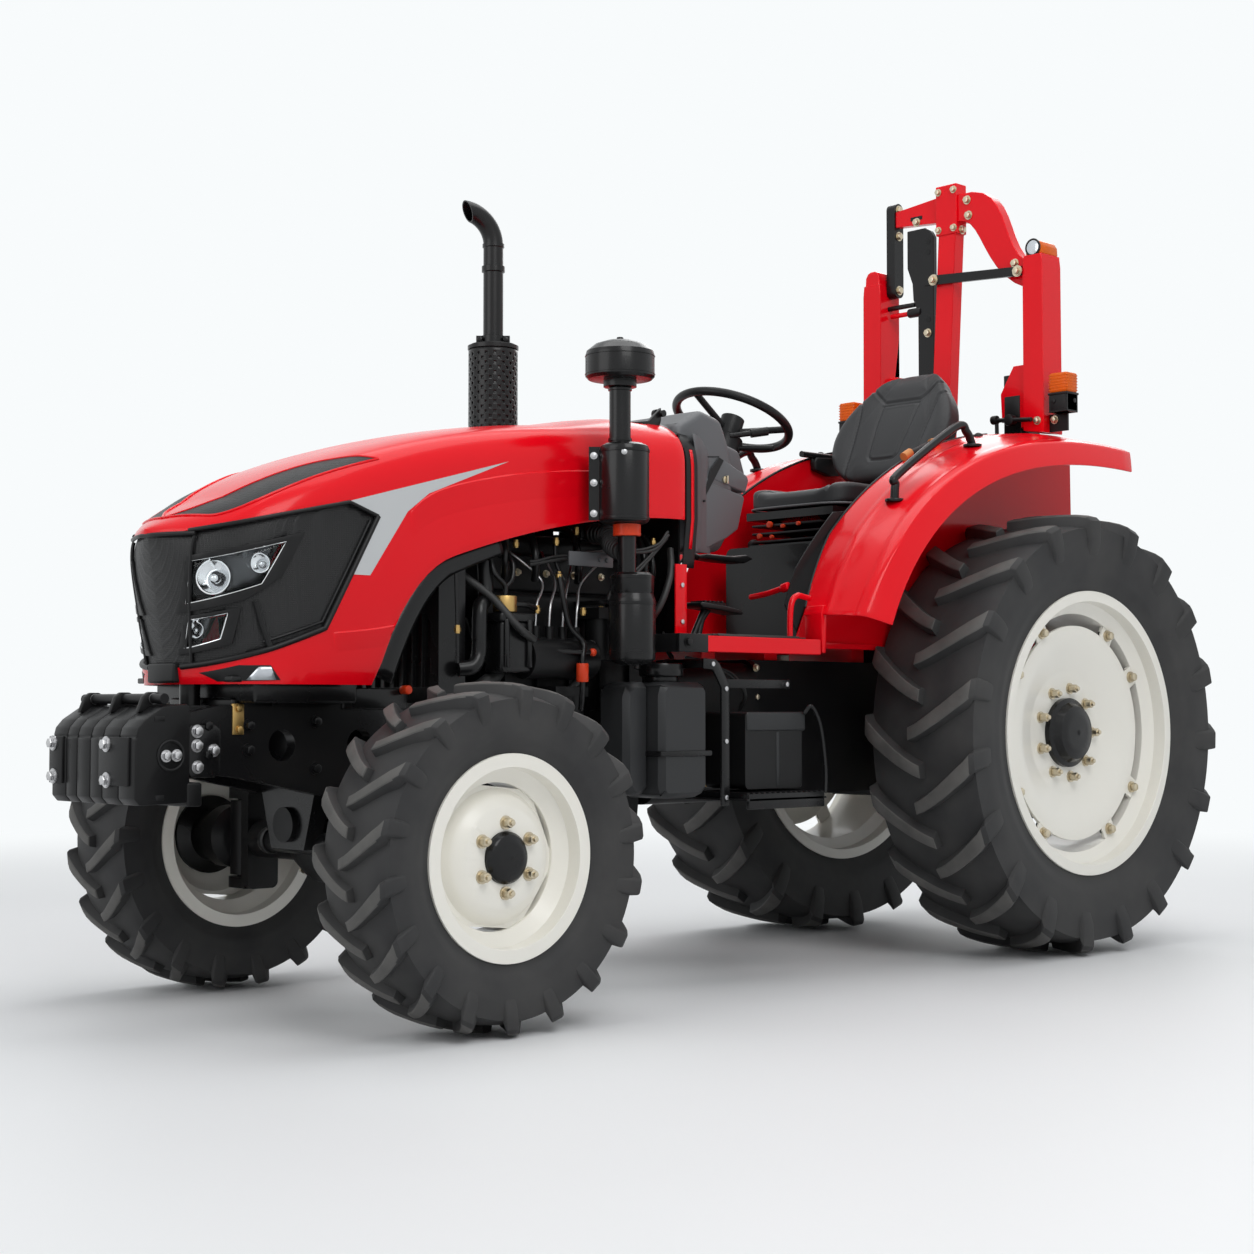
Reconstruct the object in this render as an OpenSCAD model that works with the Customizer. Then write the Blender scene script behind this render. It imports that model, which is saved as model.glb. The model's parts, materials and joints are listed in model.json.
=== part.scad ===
// Open-platform farm tractor with four driven wheels and a fixed roll frame.
// Built about the rear axle, X forward, Y to the left, Z up, then centred.

/* [Wheels] */
// Distance between the axles
wheelbase = 2461; // [2360:1:2560]
// Rear tyre radius over the lugs
rear_r = 716; // [700:1:732]
// Rear tyre width over the lugs
rear_w = 422; // [400:1:430]
// Rear wheel centre to tractor centre
rear_half = 526; // [520:1:570]
// Front tyre radius over the lugs
front_r = 430; // [415:1:440]
// Front tyre width over the lugs
front_w = 278; // [260:1:290]
// Front wheel centre to tractor centre
front_half = 596; // [590:1:630]
// Lugs on one side of a rear tyre
rear_lugs = 19; // [16:1:21]
// Lugs on one side of a front tyre
front_lugs = 18; // [15:1:20]

/* [Body] */
// Half width of the hood
hood_half = 292; // [275:1:305]
// Platform floor above the rear axle
floor_rise = 284; // [270:1:300]
// Underside of the seat cushion above the floor
seat_rise = 446; // [420:1:480]
// Top of the roll posts above the floor
post_rise = 1415; // [1360:1:1480]
// Mast head above the roll posts
mast_rise = 265; // [220:1:310]

/* [Steering and hitch] */
// Steering wheel radius at the grip
wheel_r = 200; // [185:1:210]
// Length of the lower links between pivot and ball
link_len = 780; // [740:1:820]
// Length of the lift arms
arm_len = 330; // [300:1:350]

/* [Hidden] */
$fn = 48;
fx = wheelbase;
zr = rear_r;
zf = front_r;
floor_z = zr + floor_rise;
seat_z = floor_z + seat_rise;
post_z = floor_z + post_rise;
mast_z = post_z + mast_rise;
front_reach = fx + 739;
rest_a = 6;
rear_reach = 270 + link_len * cos(rest_a);
rear_axle_x = (rear_reach - front_reach) / 2;
// gear case planes
case_top = zr + 249;
case_bot = zr - 216;
lift_top = zr + 380;
case_half = 190;
// engine planes
eng_x0 = 1480;
eng_x1 = fx - 331;
eng_half = 170;
// rim and tyre steps
rear_flange_r = 461;
rear_flange_y = 173;
front_flange_r = 254;
front_flange_y = 108;
rear_lug = 32;
front_lug = 24;
// steering
king_y = front_half - 126;
arm_back = 170;
// hood stations
hood_x0 = 1452;
hood_x1 = fx + 597;
hinge_x = 1446;
hinge_z = 1668;
skin = 6;
// seat back and steering wheel
back_tilt = 30;
col_tilt = 23.3;
wheel_x = 956;
wheel_z = 1714;
// hitch
link_x = -230;
link_z = zr - 262;
link_y0 = 170;
link_y1 = 330;
shaft_x = -150;
shaft_z = zr + 330;
arm_y = 178;
rod_y = link_y0 + (link_y1 - link_y0) * arm_len / link_len;
// colours
red = [0.78, 0.03, 0.05];
black = [0.05, 0.05, 0.055];
cream = [0.86, 0.84, 0.76];
rubber = [0.12, 0.12, 0.12];
grey = [0.33, 0.34, 0.36];
steel = [0.7, 0.7, 0.7];
amber = [0.95, 0.45, 0.05];
glass = [0.8, 0.85, 0.9];

function bez(p, t) = pow(1 - t, 3) * p[0] + 3 * t * pow(1 - t, 2) * p[1]
  + 3 * t * t * (1 - t) * p[2] + pow(t, 3) * p[3];
function mix(a, b, t) = a + (b - a) * t;

// cylinder between two points
module bar(a, b, r) {
  d = b - a;
  l = norm(d);
  translate(a) rotate([0, acos(d[2] / l), atan2(d[1], d[0])]) cylinder(h = l, r = r);
}
// box given by its two corners
module box(a, b) {
  translate(a) cube(b - a);
}
// flat bar profile with round corners, drawn from its lower left corner
module rrect(w, h, r) {
  translate([r, 0]) square([w - 2 * r, h]);
  translate([0, r]) square([w, h - 2 * r]);
  for (x = [r, w - r], y = [r, h - r]) translate([x, y]) circle(r);
}
// profile in X and Z, extruded across the tractor from y0 to y1
module slab(y0, y1) {
  translate([0, y1, 0]) rotate([90, 0, 0]) linear_extrude(y1 - y0) children();
}
// profile in Y and Z, extruded from x0 to x1
module frame_x(x0, x1) {
  translate([x0, 0, 0]) rotate([90, 0, 90]) linear_extrude(x1 - x0) children();
}
// cylinder along Y from y0 to y1
module pin_y(x, z, y0, y1, r) {
  translate([x, y1, z]) rotate([90, 0, 0]) cylinder(h = y1 - y0, r = r);
}
// cylinder along X
module pin_x(y, z, x0, x1, r) {
  translate([x0, y, z]) rotate([0, 90, 0]) cylinder(h = x1 - x0, r = r);
}
// the same thing on both sides
module both() {
  children();
  mirror([0, 1, 0]) children();
}
// revolve about Y, profile given as radius and Y
module spin_y() {
  rotate([-90, 0, 0]) rotate_extrude($fn = 96) children();
}
// sheet with thickness between an outer and an inner grid of points
module sheet(A, B) {
  m = len(A);
  n = len(A[0]);
  o = m * n;
  polyhedron(
    points = concat([for (r = A) each r], [for (r = B) each r]),
    faces = concat(
      [for (k = [0 : m - 2], i = [0 : n - 2]) let (q = k * n + i) each
        [[q, q + 1, q + n + 1], [q, q + n + 1, q + n],
         [o + q, o + q + n + 1, o + q + 1], [o + q, o + q + n, o + q + n + 1]]],
      [for (k = [0 : m - 2]) let (q = k * n, e = q + n - 1) each
        [[q, q + n, o + q + n], [q, o + q + n, o + q],
         [e, o + e + n, e + n], [e, o + e, o + e + n]]],
      [for (i = [0 : n - 2]) let (e = (m - 1) * n + i) each
        [[i, o + i, o + i + 1], [i, o + i + 1, i + 1],
         [e, o + e + 1, o + e], [e, e + 1, o + e + 1]]]));
}

function rev(l) = [for (i = [len(l) - 1 : -1 : 0]) l[i]];
// half of a tyre's outer wall, from the bead up to the shoulder
function tyre_side(fr, fy, base, hs) = concat(
  [[fr - 25.8, fy - 8.2], [fr + 4, fy - 8.2]],
  [for (i = [1 : 6]) [mix(fr + 4, base - 20, i / 6), mix(fy - 8, hs, sin(min(90, 21 * i)))]]);

// one curved lug, running from past the centre line out over the shoulder
module lug_bar(R, h, lug) {
  lead = h * 0.72;
  n = 5;
  mid = [for (i = [0 : n]) let (t = i / n) [mix(-h * 0.09, h + 6, t), lead * pow(t, 1.25)]];
  half = [for (i = [0 : n]) mix(0.092, 0.15, i / n) * h];
  translate([R - lug * 2.6, 0, 0]) rotate([90, 0, 90]) linear_extrude(lug * 3)
    polygon(concat([for (i = [0 : n]) mid[i] - [0, half[i]]],
      rev([for (i = [0 : n]) mid[i] + [0, half[i]]])));
}
// tyre with its axle along Y, outboard side at +Y
module tyre(R, w, lug, n, fr, fy) {
  h = w / 2;
  s = lug / 32;
  base = R - lug;
  side = tyre_side(fr, fy, base, h - 15 * s);
  cave = [[fr - 60, fy - 34], [fr + 10, fy - 34], [mix(fr, base, 0.4), h - 40 * s],
    [mix(fr, base, 0.7), h - 44 * s], [base - 40 * s, h * 0.62]];
  edge = [[mix(fr, R, 0.42), h - 24 * s], [mix(fr, R, 0.6), h - 3 * s], [R - 30 * s, h],
    [R - 7 * s, h * 0.84], [R, h * 0.3]];
  difference() {
    union() {
      spin_y() polygon(concat(side, [[base - 6 * s, h * 0.62], [base, 0], [base - 6 * s, -h * 0.62]],
        rev([for (p = side) [p[0], -p[1]]])));
      intersection() {
        union() {
          for (i = [0 : n - 1]) {
            rotate([0, -i * 360 / n, 0]) lug_bar(R, h, lug);
            rotate([0, -(i + 0.5) * 360 / n, 0]) mirror([0, 1, 0]) lug_bar(R, h, lug);
          }
        }
        spin_y() polygon(concat(edge, rev([for (p = edge) [p[0], -p[1]]])));
      }
    }
    spin_y() polygon(concat(cave, [[base - 34 * s, 0]], rev([for (p = cave) [p[0], -p[1]]])));
  }
}
// rim barrel with two flanges and a drop centre
module barrel(fr, fy) {
  out = [[fr, fy - 8], [fr - 26, fy - 8], [fr - 26, fy - 46], [fr - 64, fy - 70]];
  inn = [[fr, fy], [fr - 34, fy], [fr - 35, fy - 42], [fr - 72, fy - 66]];
  spin_y() polygon(concat(out, rev([for (p = out) [p[0], -p[1]]]),
    [for (p = inn) [p[0], -p[1]]], rev(inn)));
}
module front_rim() {
  barrel(front_flange_r, front_flange_y);
  // disc with six flats that leave openings beside the barrel
  difference() {
    spin_y() polygon([[64, 68], [64, 80], [118, 80], [150, 60], [168, 36], [184, 34],
      [184, 22], [162, 24], [143, 48], [113, 68]]);
    for (i = [0 : 5]) rotate([0, i * 60 + 24, 0]) box([171, 15, -70], [190, 60, 70]);
  }
}
module front_hub() {
  difference() {
    spin_y() polygon([[0, -6], [72, -6], [76, 40], [112, 56], [112, 68], [63.6, 68], [63.6, 88],
      [56, 98], [40, 104], [0, 106]]);
    pin_y(0, 0, -10, 60, 45.3);
  }
}
module rear_rim() {
  barrel(rear_flange_r, rear_flange_y);
  spin_y() polygon([[90, 54], [90, 66], [188, 66], [206, 72], [296, 104], [330, 108],
    [350, 107], [350, 95], [332, 96], [300, 92], [210, 60], [190, 54]]);
  // ears that carry the barrel
  for (a = [30, 60, 120, 150, 210, 240, 300, 330])
    rotate([0, a, 0]) box([340, 93, -32], [rear_flange_r - 69, 106, 32]);
}
module rear_hub() {
  difference() {
    spin_y() polygon([[0, -40], [95, -40], [100, 30], [176, 40], [176, 54], [89.7, 54], [89.7, 66],
      [113, 66], [113, 84], [98, 90], [86, 112], [60, 118], [0, 120]]);
    pin_y(0, 0, -50, 52, 60.3);
  }
}
// places a left wheel piece, or mirrors it to the right
module front_place(s) {
  color_mirror(s) translate([fx, front_half, zf]) children();
}
module rear_place(s) {
  color_mirror(s) translate([0, rear_half, zr]) children();
}
module color_mirror(s) {
  if (s > 0) children();
  else mirror([0, 1, 0]) children();
}

// driveline
module gear_case() {
  color(black) {
    // rear axle centre, gearbox and clutch bell in one profile along the tractor
    difference() {
      slab(-case_half, case_half) polygon([[-262, case_bot + 60], [-230, case_bot], [260, case_bot],
        [330, case_bot + 30], [330, case_top], [-200, case_top], [-262, case_top - 70]]);
      for (s = [-1, 1]) translate([-300, s * case_half, case_bot]) rotate([45, 0, 0])
        cube([700, 60, 60], center = false);
    }
    slab(-155, 155) polygon([[330, case_bot + 30], [1040, case_bot + 20], [1040, case_top - 20],
      [330, case_top - 20]]);
    frame_x(1040, eng_x0) translate([-185, case_bot + 10]) rrect(370, case_top - case_bot - 40, 60);
    for (x = [332, 1030]) frame_x(x, x + 22) translate([-178, case_bot + 8])
      rrect(356, case_top - case_bot - 28, 40);
    // hydraulic lift housing with the top link bracket behind it
    slab(-145, 145) polygon([[-240, case_top], [230, case_top], [210, lift_top - 20], [150, lift_top],
      [-230, lift_top], [-240, lift_top - 40]]);
    difference() {
      for (y = [-52, 28]) slab(y, y + 24) polygon([[-240, case_top + 20], [-330, case_top + 40],
        [-330, case_top + 100], [-240, lift_top - 30]]);
      pin_y(-300, case_top + 70, -100, 100, 12.75);
    }
    // lift shaft through the housing
    pin_y(shaft_x, shaft_z, -205, 205, 30);
    // lower link pivots
    both() pin_y(link_x, link_z, 100, link_y0 + 26, 17);
    both() slab(100, link_y0 - 22) polygon([[-270, link_z - 40], [-190, link_z - 40],
      [-150, case_bot + 90], [-262, case_bot + 90]]);
    // bearing carriers for the axle tubes
    both() pin_y(0, zr, 150, case_half + 10, 168);
  }
}
module axle_trumpets() {
  color(black) both() {
    difference() {
      translate([0, 0, zr]) spin_y() polygon([[0, case_half + 10], [160, case_half + 10],
        [160, case_half + 34], [124, case_half + 44], [98, 330], [92, rear_half - 90], [128, rear_half - 84],
        [128, rear_half - 62], [84, rear_half - 54], [84, rear_half - 46], [60, rear_half - 46],
        [60, rear_half + 48], [0, rear_half + 48]]);
    }
    // pad for the post foot
    box([-290, 235, zr - 40], [0, 285, zr + 40]);
    box([-300, 218, zr + 30], [-60, 290, zr + 150]);
  }
}
module engine() {
  color(black) {
    frame_x(eng_x0, eng_x1) translate([-eng_half, zf + 130]) rrect(2 * eng_half, 560, 24);
    // sump
    slab(-140, 140) polygon([[eng_x0 + 20, zf + 131], [eng_x0 + 30, zf + 40], [eng_x0 + 60, zf + 20],
      [eng_x1 - 160, zf + 30], [eng_x1 - 110, zf + 80], [eng_x1 - 40, zf + 131]]);
    // cylinder head and rocker cover
    frame_x(eng_x0 + 30, eng_x1 - 30) translate([-130, zf + 688]) rrect(260, 110, 12);
    frame_x(eng_x0 + 50, eng_x1 - 50) translate([-85, zf + 780]) rrect(170, 80, 30);
    // ribs on the block
    for (i = [0 : 4]) both() box([eng_x0 + 90 + i * (eng_x1 - eng_x0 - 180) / 4 - 12, eng_half - 1, zf + 200],
      [eng_x0 + 90 + i * (eng_x1 - eng_x0 - 180) / 4 + 12, eng_half + 14, zf + 640]);
    // side rail of the block
    both() box([eng_x0 + 20, eng_half - 1, zf + 150], [eng_x1 - 10, eng_half + 24, zf + 186]);
    // crank pulley and fan
    pin_x(0, zf + 400, eng_x1, eng_x1 + 52, 92);
    pin_x(0, zf + 620, eng_x1, eng_x1 + 40, 60);
    difference() {
      for (i = [0 : 6]) translate([eng_x1 + 48, 0, zf + 620]) rotate([i * 360 / 7, 0, 0]) rotate([0, 0, 30])
        translate([-3, -34, 30]) cube([6, 68, 160]);
      pin_x(0, zf + 620, eng_x1 - 60, eng_x1 + 30, 400);
    }
    pin_x(0, zf + 620, eng_x1 + 30, eng_x1 + 66, 52);
  }
}
module engine_fittings() {
  yl = eng_half + 14.2;
  color(black) {
    // injection pump and its flange on the left
    pin_x(yl + 60, zf + 500, eng_x1 - 330, eng_x1 - 90, 56);
    box([eng_x1 - 300, yl, zf + 450], [eng_x1 - 120, yl + 62, zf + 560]);
    for (i = [0 : 3]) translate([eng_x1 - 285 + i * 50, yl + 60, zf + 540]) cylinder(h = 50, r = 12);
    // fuel and oil filters
    translate([eng_x1 - 390, yl + 50, zf + 500]) cylinder(h = 120, r = 46);
    box([eng_x1 - 440, yl, zf + 616], [eng_x1 - 340, yl + 96, zf + 648]);
    translate([eng_x1 - 270, yl + 46, zf + 270]) cylinder(h = 130, r = 42);
    box([eng_x1 - 310, yl, zf + 396], [eng_x1 - 190, yl + 84, zf + 424]);
    // manifold and alternator on the right
    for (i = [0 : 3]) translate([eng_x0 + 110 + i * 130, -yl - 45, zf + 640]) rotate([-90, 0, 0])
      cylinder(h = 45.2, r = 28);
    pin_x(-yl - 50, zf + 640, eng_x0 + 60, eng_x1 - 80, 38);
    pin_y(1632, zf + 640, -yl - 100, -yl - 50, 32);
    pin_x(-yl - 66, zf + 380, eng_x1 - 210, eng_x1 - 70, 64);
    box([eng_x1 - 180, -yl - 60, zf + 350], [eng_x1 - 100, -yl, zf + 410]);
  }
}
module radiator() {
  color(black) {
    difference() {
      box([eng_x1 + 95, -225, 800], [eng_x1 + 185, 225, 1330]);
      // shroud opening behind the core
      pin_x(0, zf + 620, eng_x1 + 90, eng_x1 + 130, 205);
      box([eng_x1 + 174, -190, 850], [eng_x1 + 190, 190, 1270]);
    }
    // cooling fins
    for (i = [0 : 8]) box([eng_x1 + 165, -190 + i * 42, 845], [eng_x1 + 184, -184 + i * 42, 1275]);
    translate([eng_x1 + 140, 0, 1328]) cylinder(h = 26, r = 34);
    // battery tray brace in front of the core
    box([eng_x1 + 184, -160, 800], [fx + 330, 160, 807]);
  }
}
module front_frame() {
  color(black) {
    difference() {
      union() {
        both() slab(122, 160) polygon([[eng_x1, 590], [fx - 160, 570], [fx + 180, 570], [fx + 420, 620],
          [fx + 575, 640], [fx + 575, 780], [fx + 480, 800], [eng_x1, 800]]);
        box([eng_x1, -123, 590], [eng_x1 + 34, 123, 728]);
        box([fx + 540, -123, 640], [fx + 575, 123, 780]);
        box([eng_x1 + 90, -123, 788], [fx + 420, 123, 800]);
        // axle saddles
        for (x = [fx - 175, fx + 125]) {
          frame_x(x, x + 50) polygon([[-123, 800], [-123, 580], [-75, zf - 4],
            [75, zf - 4], [123, 580], [123, 800]]);
        }
        // hood rest
        translate([fx + 470, 0, 779]) cylinder(h = 77.7, r = 26);
        box([fx + 440, -123, 760], [fx + 500, 123, 800]);
      }
      pin_x(0, zf + 60, fx - 300, fx + 300, 46);
      for (x = [fx - 60, fx + 60, fx + 300]) pin_y(x, 700, -200, 200, 40);
    }
  }
}
module front_weights() {
  x0 = fx + 575;
  xr = fx + 590;
  color(black) {
    // carrier plate bolted to the frame
    box([x0, -170, 590], [xr + 1, 170, 792]);
    for (i = [-2 : 2]) slab(i * 82 - 40, i * 82 + 40) polygon([[xr, 566], [fx + 725, 562], [fx + 739, 580],
      [fx + 739, 742], [fx + 722, 766], [fx + 640, 770], [fx + 625, 800], [xr, 806]]);
    box([xr, -200, 580], [fx + 722, 200, 740]);
    // front clamp bar and hand bar
    for (y = [-123, 41]) slab(y, y + 82) polygon([[fx + 640, 768], [fx + 690, 768], [fx + 676, 812],
      [fx + 654, 812]]);
    pin_y(fx + 665, 806, -190, 190, 13);
  }
}
module front_axle() {
  color(black) {
    translate([fx, 0, zf]) spin_y() polygon([[0, -king_y + 62], [52, -king_y + 62], [52, -180], [70, -150],
      [104, -70], [108, 0], [104, 70], [70, 150], [52, 180], [52, king_y - 62], [0, king_y - 62]]);
    // trunnions that rest in the saddles
    pin_x(0, zf + 60, fx - 190, fx - 50, 45.7);
    pin_x(0, zf + 60, fx + 50, fx + 190, 45.7);
    // forks that hold the king pins
    both() translate([fx, king_y, zf]) {
      slab(-90, -56) translate([-50, -140]) rrect(100, 280, 20);
      for (z = [-140, 110]) translate([0, 0, z]) linear_extrude(30) difference() {
        union() {
          translate([-46, -70]) square([92, 70]);
          circle(46);
        }
        circle(22);
      }
    }
  }
}
module knuckle() {
  translate([fx, king_y, zf]) {
    // king pin and its barrel between the fork ears
    translate([0, 0, -142]) cylinder(h = 284, r = 21.7);
    translate([0, 0, -104]) cylinder(h = 208, r = 42);
    // spindle toward the wheel
    spin_y() polygon([[0, 0], [64, 20], [88, 40], [88, 96], [60, 106], [45, 106], [45, 182], [0, 182]]);
    // steering arm behind the axle
    difference() {
      union() {
        translate([-arm_back, -14, -14]) cube([arm_back - 20, 28, 28]);
        translate([-arm_back, 0, -14]) cylinder(h = 28, r = 24);
      }
      translate([-arm_back, 0, -30]) cylinder(h = 60, r = 12.3);
    }
  }
}
module tie_rod() {
  x = fx - arm_back;
  color(steel) {
    bar([x, -king_y, zf - 36], [x, king_y, zf - 36], 14);
    // ball stud in the left arm, plain stud in the right one
    translate([x, king_y, zf - 46]) cylinder(h = 66, r = 12);
    translate([x, king_y, zf - 52]) cylinder(h = 32, r = 21);
    translate([x, -king_y, zf - 46]) cylinder(h = 66, r = 10);
    translate([x, -king_y, zf - 52]) cylinder(h = 32, r = 21);
  }
}
// intake and exhaust
module air_cleaner() {
  x = 1810;
  y = hood_half + 113;
  color(black) {
    // pre-cleaner bowl on its pipe
    translate([x + 16, y, 0]) rotate_extrude($fn = 64) polygon([[0, 1500], [29.5, 1500], [29.5, 1677],
      [46, 1679], [46, 1698], [88, 1700], [96, 1708], [96, 1766], [93, 1778], [70, 1797], [40, 1807],
      [10, 1810], [9, 1818], [0, 1819]]);
    // main canister with its clamp flange
    translate([x, y, 0]) rotate_extrude($fn = 64) polygon([[0, 1303], [60, 1303], [68, 1309], [69, 1316],
      [69, 1508], [66, 1517], [52, 1524], [0, 1524]]);
    translate([x, y, 0]) rotate([0, 0, -43]) box([60, -6, 1312], [98, 6, 1515]);
    // pipe down to the second canister
    bar([x - 10, y, 1160], [x - 10, y, 1310], 25.5);
    translate([x - 10, y, 1269]) cylinder(h = 36, r = 37);
    translate([x - 30, y, 0]) rotate_extrude($fn = 64) polygon([[0, 913], [30, 913], [52, 920], [64, 928],
      [65, 936], [65, 1092], [60, 1104], [58, 1110], [60, 1114], [60, 1160], [52, 1168], [0, 1168]]);
    // bracket to the engine block
    box([x - 98, eng_half + 0.2, 1085], [x - 24, y - 30, 1097]);
    box([x - 98, eng_half + 0.2, 1050], [x - 24, eng_half + 8, 1097]);
  }
}
module exhaust() {
  x = 1632;
  y = -hood_half - 88;
  color(black) {
    translate([x, y, 0]) rotate_extrude($fn = 64) polygon([[0, 1480], [40, 1480], [70, 1500], [73, 1510],
      [73, 1916], [70, 1923], [36, 1923], [36, 1950], [31, 1952], [31, 2149], [36, 2151], [36, 2168],
      [31, 2170], [31, 2226], [34, 2228], [34, 2238], [0, 2238]]);
    // clamp above the muffler
    translate([x, y, 0]) rotate([0, 0, -43]) box([-52, -13, 1924], [52, 13, 1950]);
    // bent tail pipe with a slanted end
    translate([x, y, 2234]) rotate([0, 0, -15]) difference() {
      tail_bend(0, 92, 31);
      tail_bend(12, 96, 27);
      translate([75.3, -60, 64.4]) rotate([0, 20.3, 0]) translate([0, 0, -60]) cube([200, 120, 300]);
    }
    // down pipe and elbow to the manifold
    bar([x, y, zf + 640], [x, y, 1490], 34);
    pin_y(x, zf + 640, y, -eng_half - 114.4, 32);
  }
}
module tail_bend(a, b, r) {
  translate([100, 0, 0]) rotate([90, 0, 180]) rotate([0, 0, a]) rotate_extrude(angle = b - a, $fn = 64)
    translate([100, 0]) circle(r);
}
// hood support wall with the hinge pins
module bulkhead() {
  color(black) {
    difference() {
      box([1440, -250, floor_z + 0.2], [1447, 250, 1600]);
      pin_x(0, 1250, 1400, 1500, 90);
    }
    both() {
      slab(150, 162) polygon([[1440, 1560], [1447, 1560], [1447, hinge_z], [hinge_x - 14, hinge_z],
        [hinge_x - 14, hinge_z - 20], [1440, hinge_z - 27]]);
      pin_y(hinge_x, hinge_z, 150, 162, 15);
      pin_y(hinge_x, hinge_z, 155, 190, 10);
    }
  }
}
function hood_top(x) = let (t = (x - hood_x0) / (hood_x1 - hood_x0))
  bez([1652, 1618, 1520, 1238], t * 0.55 + t * t * 0.45);
function hood_w(x) = let (t = max(0, (x - fx - 39) / (hood_x1 + 3 - fx - 39)))
  hood_half * sqrt(max(0.02, 1 - pow(t, 5))) - 12 * pow(max(0, (fx - 400 - x) / 700), 2);
function hood_low(x) = let (t = min(1, (x - hood_x0) / (fx + 115 - hood_x0)))
  x > fx + 114 ? 852 : bez([1345, 1375, 1318, 862], pow(t, 1.35));
// one point of the hood skin: a runs from the right lower edge (0) over the top to the left one (1)
function hood_pt(x, a, d) = let (
    s = a < 0.5 ? -1 : 1,
    u = abs(a - 0.5) * 2,
    w = hood_w(x) - d,
    top = hood_top(x) - d,
    low = hood_low(x),
    knee = max(low + 10, top - 175),
    v = min(1, u / 0.7),
    y = u < 0.7 ? w * pow(sin(90 * v), 0.8) : w,
    z = u < 0.7 ? mix(knee, top, pow(cos(90 * v), 0.62)) : mix(knee, low, (u - 0.7) / 0.3),
    k = max(0, (x - fx - 39) / (hood_x1 - fx - 39)))
  [x - d * k * 0.8 - 0.16 * k * (1219 - z), s * y, z];
hood_st = concat([for (i = [0 : 9]) mix(hood_x0, fx + 60, i / 9)],
  [for (i = [1 : 8]) mix(fx + 60, hood_x1, sin(i * 90 / 8))]);
hood_a = concat([0, 0.05, 0.1], [for (i = [3 : 17]) i / 20], [0.9, 0.95, 1]);
function hood_grid(d) = [for (x = hood_st) [for (a = hood_a) hood_pt(x, a, d)]];
// side view of the grille opening
module grille_cut(g) {
  polygon([[fx + 102 - g, 1282], [fx + 190, 1312 + g], [fx + 700, 1197 + g], [fx + 700, 878 - g],
    [fx + 540, 893 - g], [fx + 262 - g, 992 - g]]);
}
module hood_shell() {
  color(red) {
    difference() {
      sheet(hood_grid(0), hood_grid(skin));
      slab(-400, 400) grille_cut(0);
    }
    // cross member that rests on the frame, and the hinge arms
    box([fx + 450, 3 - hood_w(fx + 505), 857], [fx + 490, hood_w(fx + 505) - 3, 871]);
    both() difference() {
      union() {
        slab(166, 178) polygon([[hinge_x, hinge_z - 18], [hinge_x + 16, hood_top(hinge_x + 16) - 60],
          [hinge_x + 160, hood_top(hinge_x + 160) - 60], [hinge_x + 160, hood_top(hinge_x + 160) - 20],
          [hinge_x + 50, hood_top(hinge_x + 50) - 8], [hinge_x, hinge_z + 18]]);
        pin_y(hinge_x, hinge_z, 166, 178, 18);
      }
      pin_y(hinge_x, hinge_z, 100, 300, 10.3);
    }
  }
}
module grille() {
  color(black) {
    difference() {
      intersection() {
        sheet(hood_grid(skin + 0.5), hood_grid(skin + 16));
        slab(-400, 400) grille_cut(14);
      }
      both() slab(60, 400) lamp_cut(0.3);
      // open slots of the grille between the lamps
      for (i = [0 : 6]) box([fx + 500, -95, 920 + i * 38], [fx + 700, 95, 934 + i * 38]);
    }
  }
}
module lamp_cut(g) {
  polygon([[fx + 552 + g, 1049 - g], [fx + 557 + g, 1153 + g], [fx + 370 - g, 1204 + g],
    [fx + 428 - g, 1097 - g]]);
}
module headlamps() {
  color(glass) intersection() {
    sheet(hood_grid(skin + 1), hood_grid(skin + 15));
    both() slab(60, 400) lamp_cut(0);
  }
}
// driver's place
module console() {
  color(grey) {
    difference() {
      union() {
        slab(-235, 235) polygon([[1439.8, 1240], [1439.8, 1628], [1410, 1640], [1330, 1690], [1240, 1660],
          [1180, 1500], [1200, 1330], [1290, 1262]]);
        // cowl round the steering column
        slab(-140, 140) polygon([[1220, 1262], [1150, 1270], [1060, 1400], [1030, 1520], [1060, 1600],
          [1250, 1650]]);
      }
      // hinge pockets and the column's hole
      both() box([1400, 140, 1640], [1500, 200, 1760]);
      translate([wheel_x, 0, wheel_z]) rotate([0, -col_tilt, 0]) translate([0, 0, -320])
        cylinder(h = 400, r = 42.2);
    }
    // lower column down to the floor
    box([1300, -120, floor_z + 0.2], [1439.8, 120, 1264]);
  }
}
module steering_column() {
  color(black) translate([wheel_x, 0, wheel_z]) rotate([0, -col_tilt, 0]) {
    translate([0, 0, -320]) cylinder(h = 200, r = 42);
    translate([0, 0, -125]) cylinder(h = 60, r = 52);
    translate([0, 0, -70]) cylinder(h = 62, r = 14);
    // stalk
    rotate([0, 0, 120]) translate([30, 0, -95]) rotate([0, 80, 0]) cylinder(h = 130, r = 9);
  }
}
module steering_wheel() {
  color(black) translate([wheel_x, 0, wheel_z]) rotate([0, -col_tilt, 0]) {
    rotate_extrude($fn = 96) translate([wheel_r - 14, 0]) circle(14);
    difference() {
      translate([0, 0, -58]) cylinder(h = 64, r = 38);
      translate([0, 0, -80]) cylinder(h = 74, r = 14.3);
    }
    for (a = [0, 120, 240]) rotate([0, 0, a]) bar([30, 0, -38], [wheel_r - 16, 0, 0], 11);
  }
}
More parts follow.
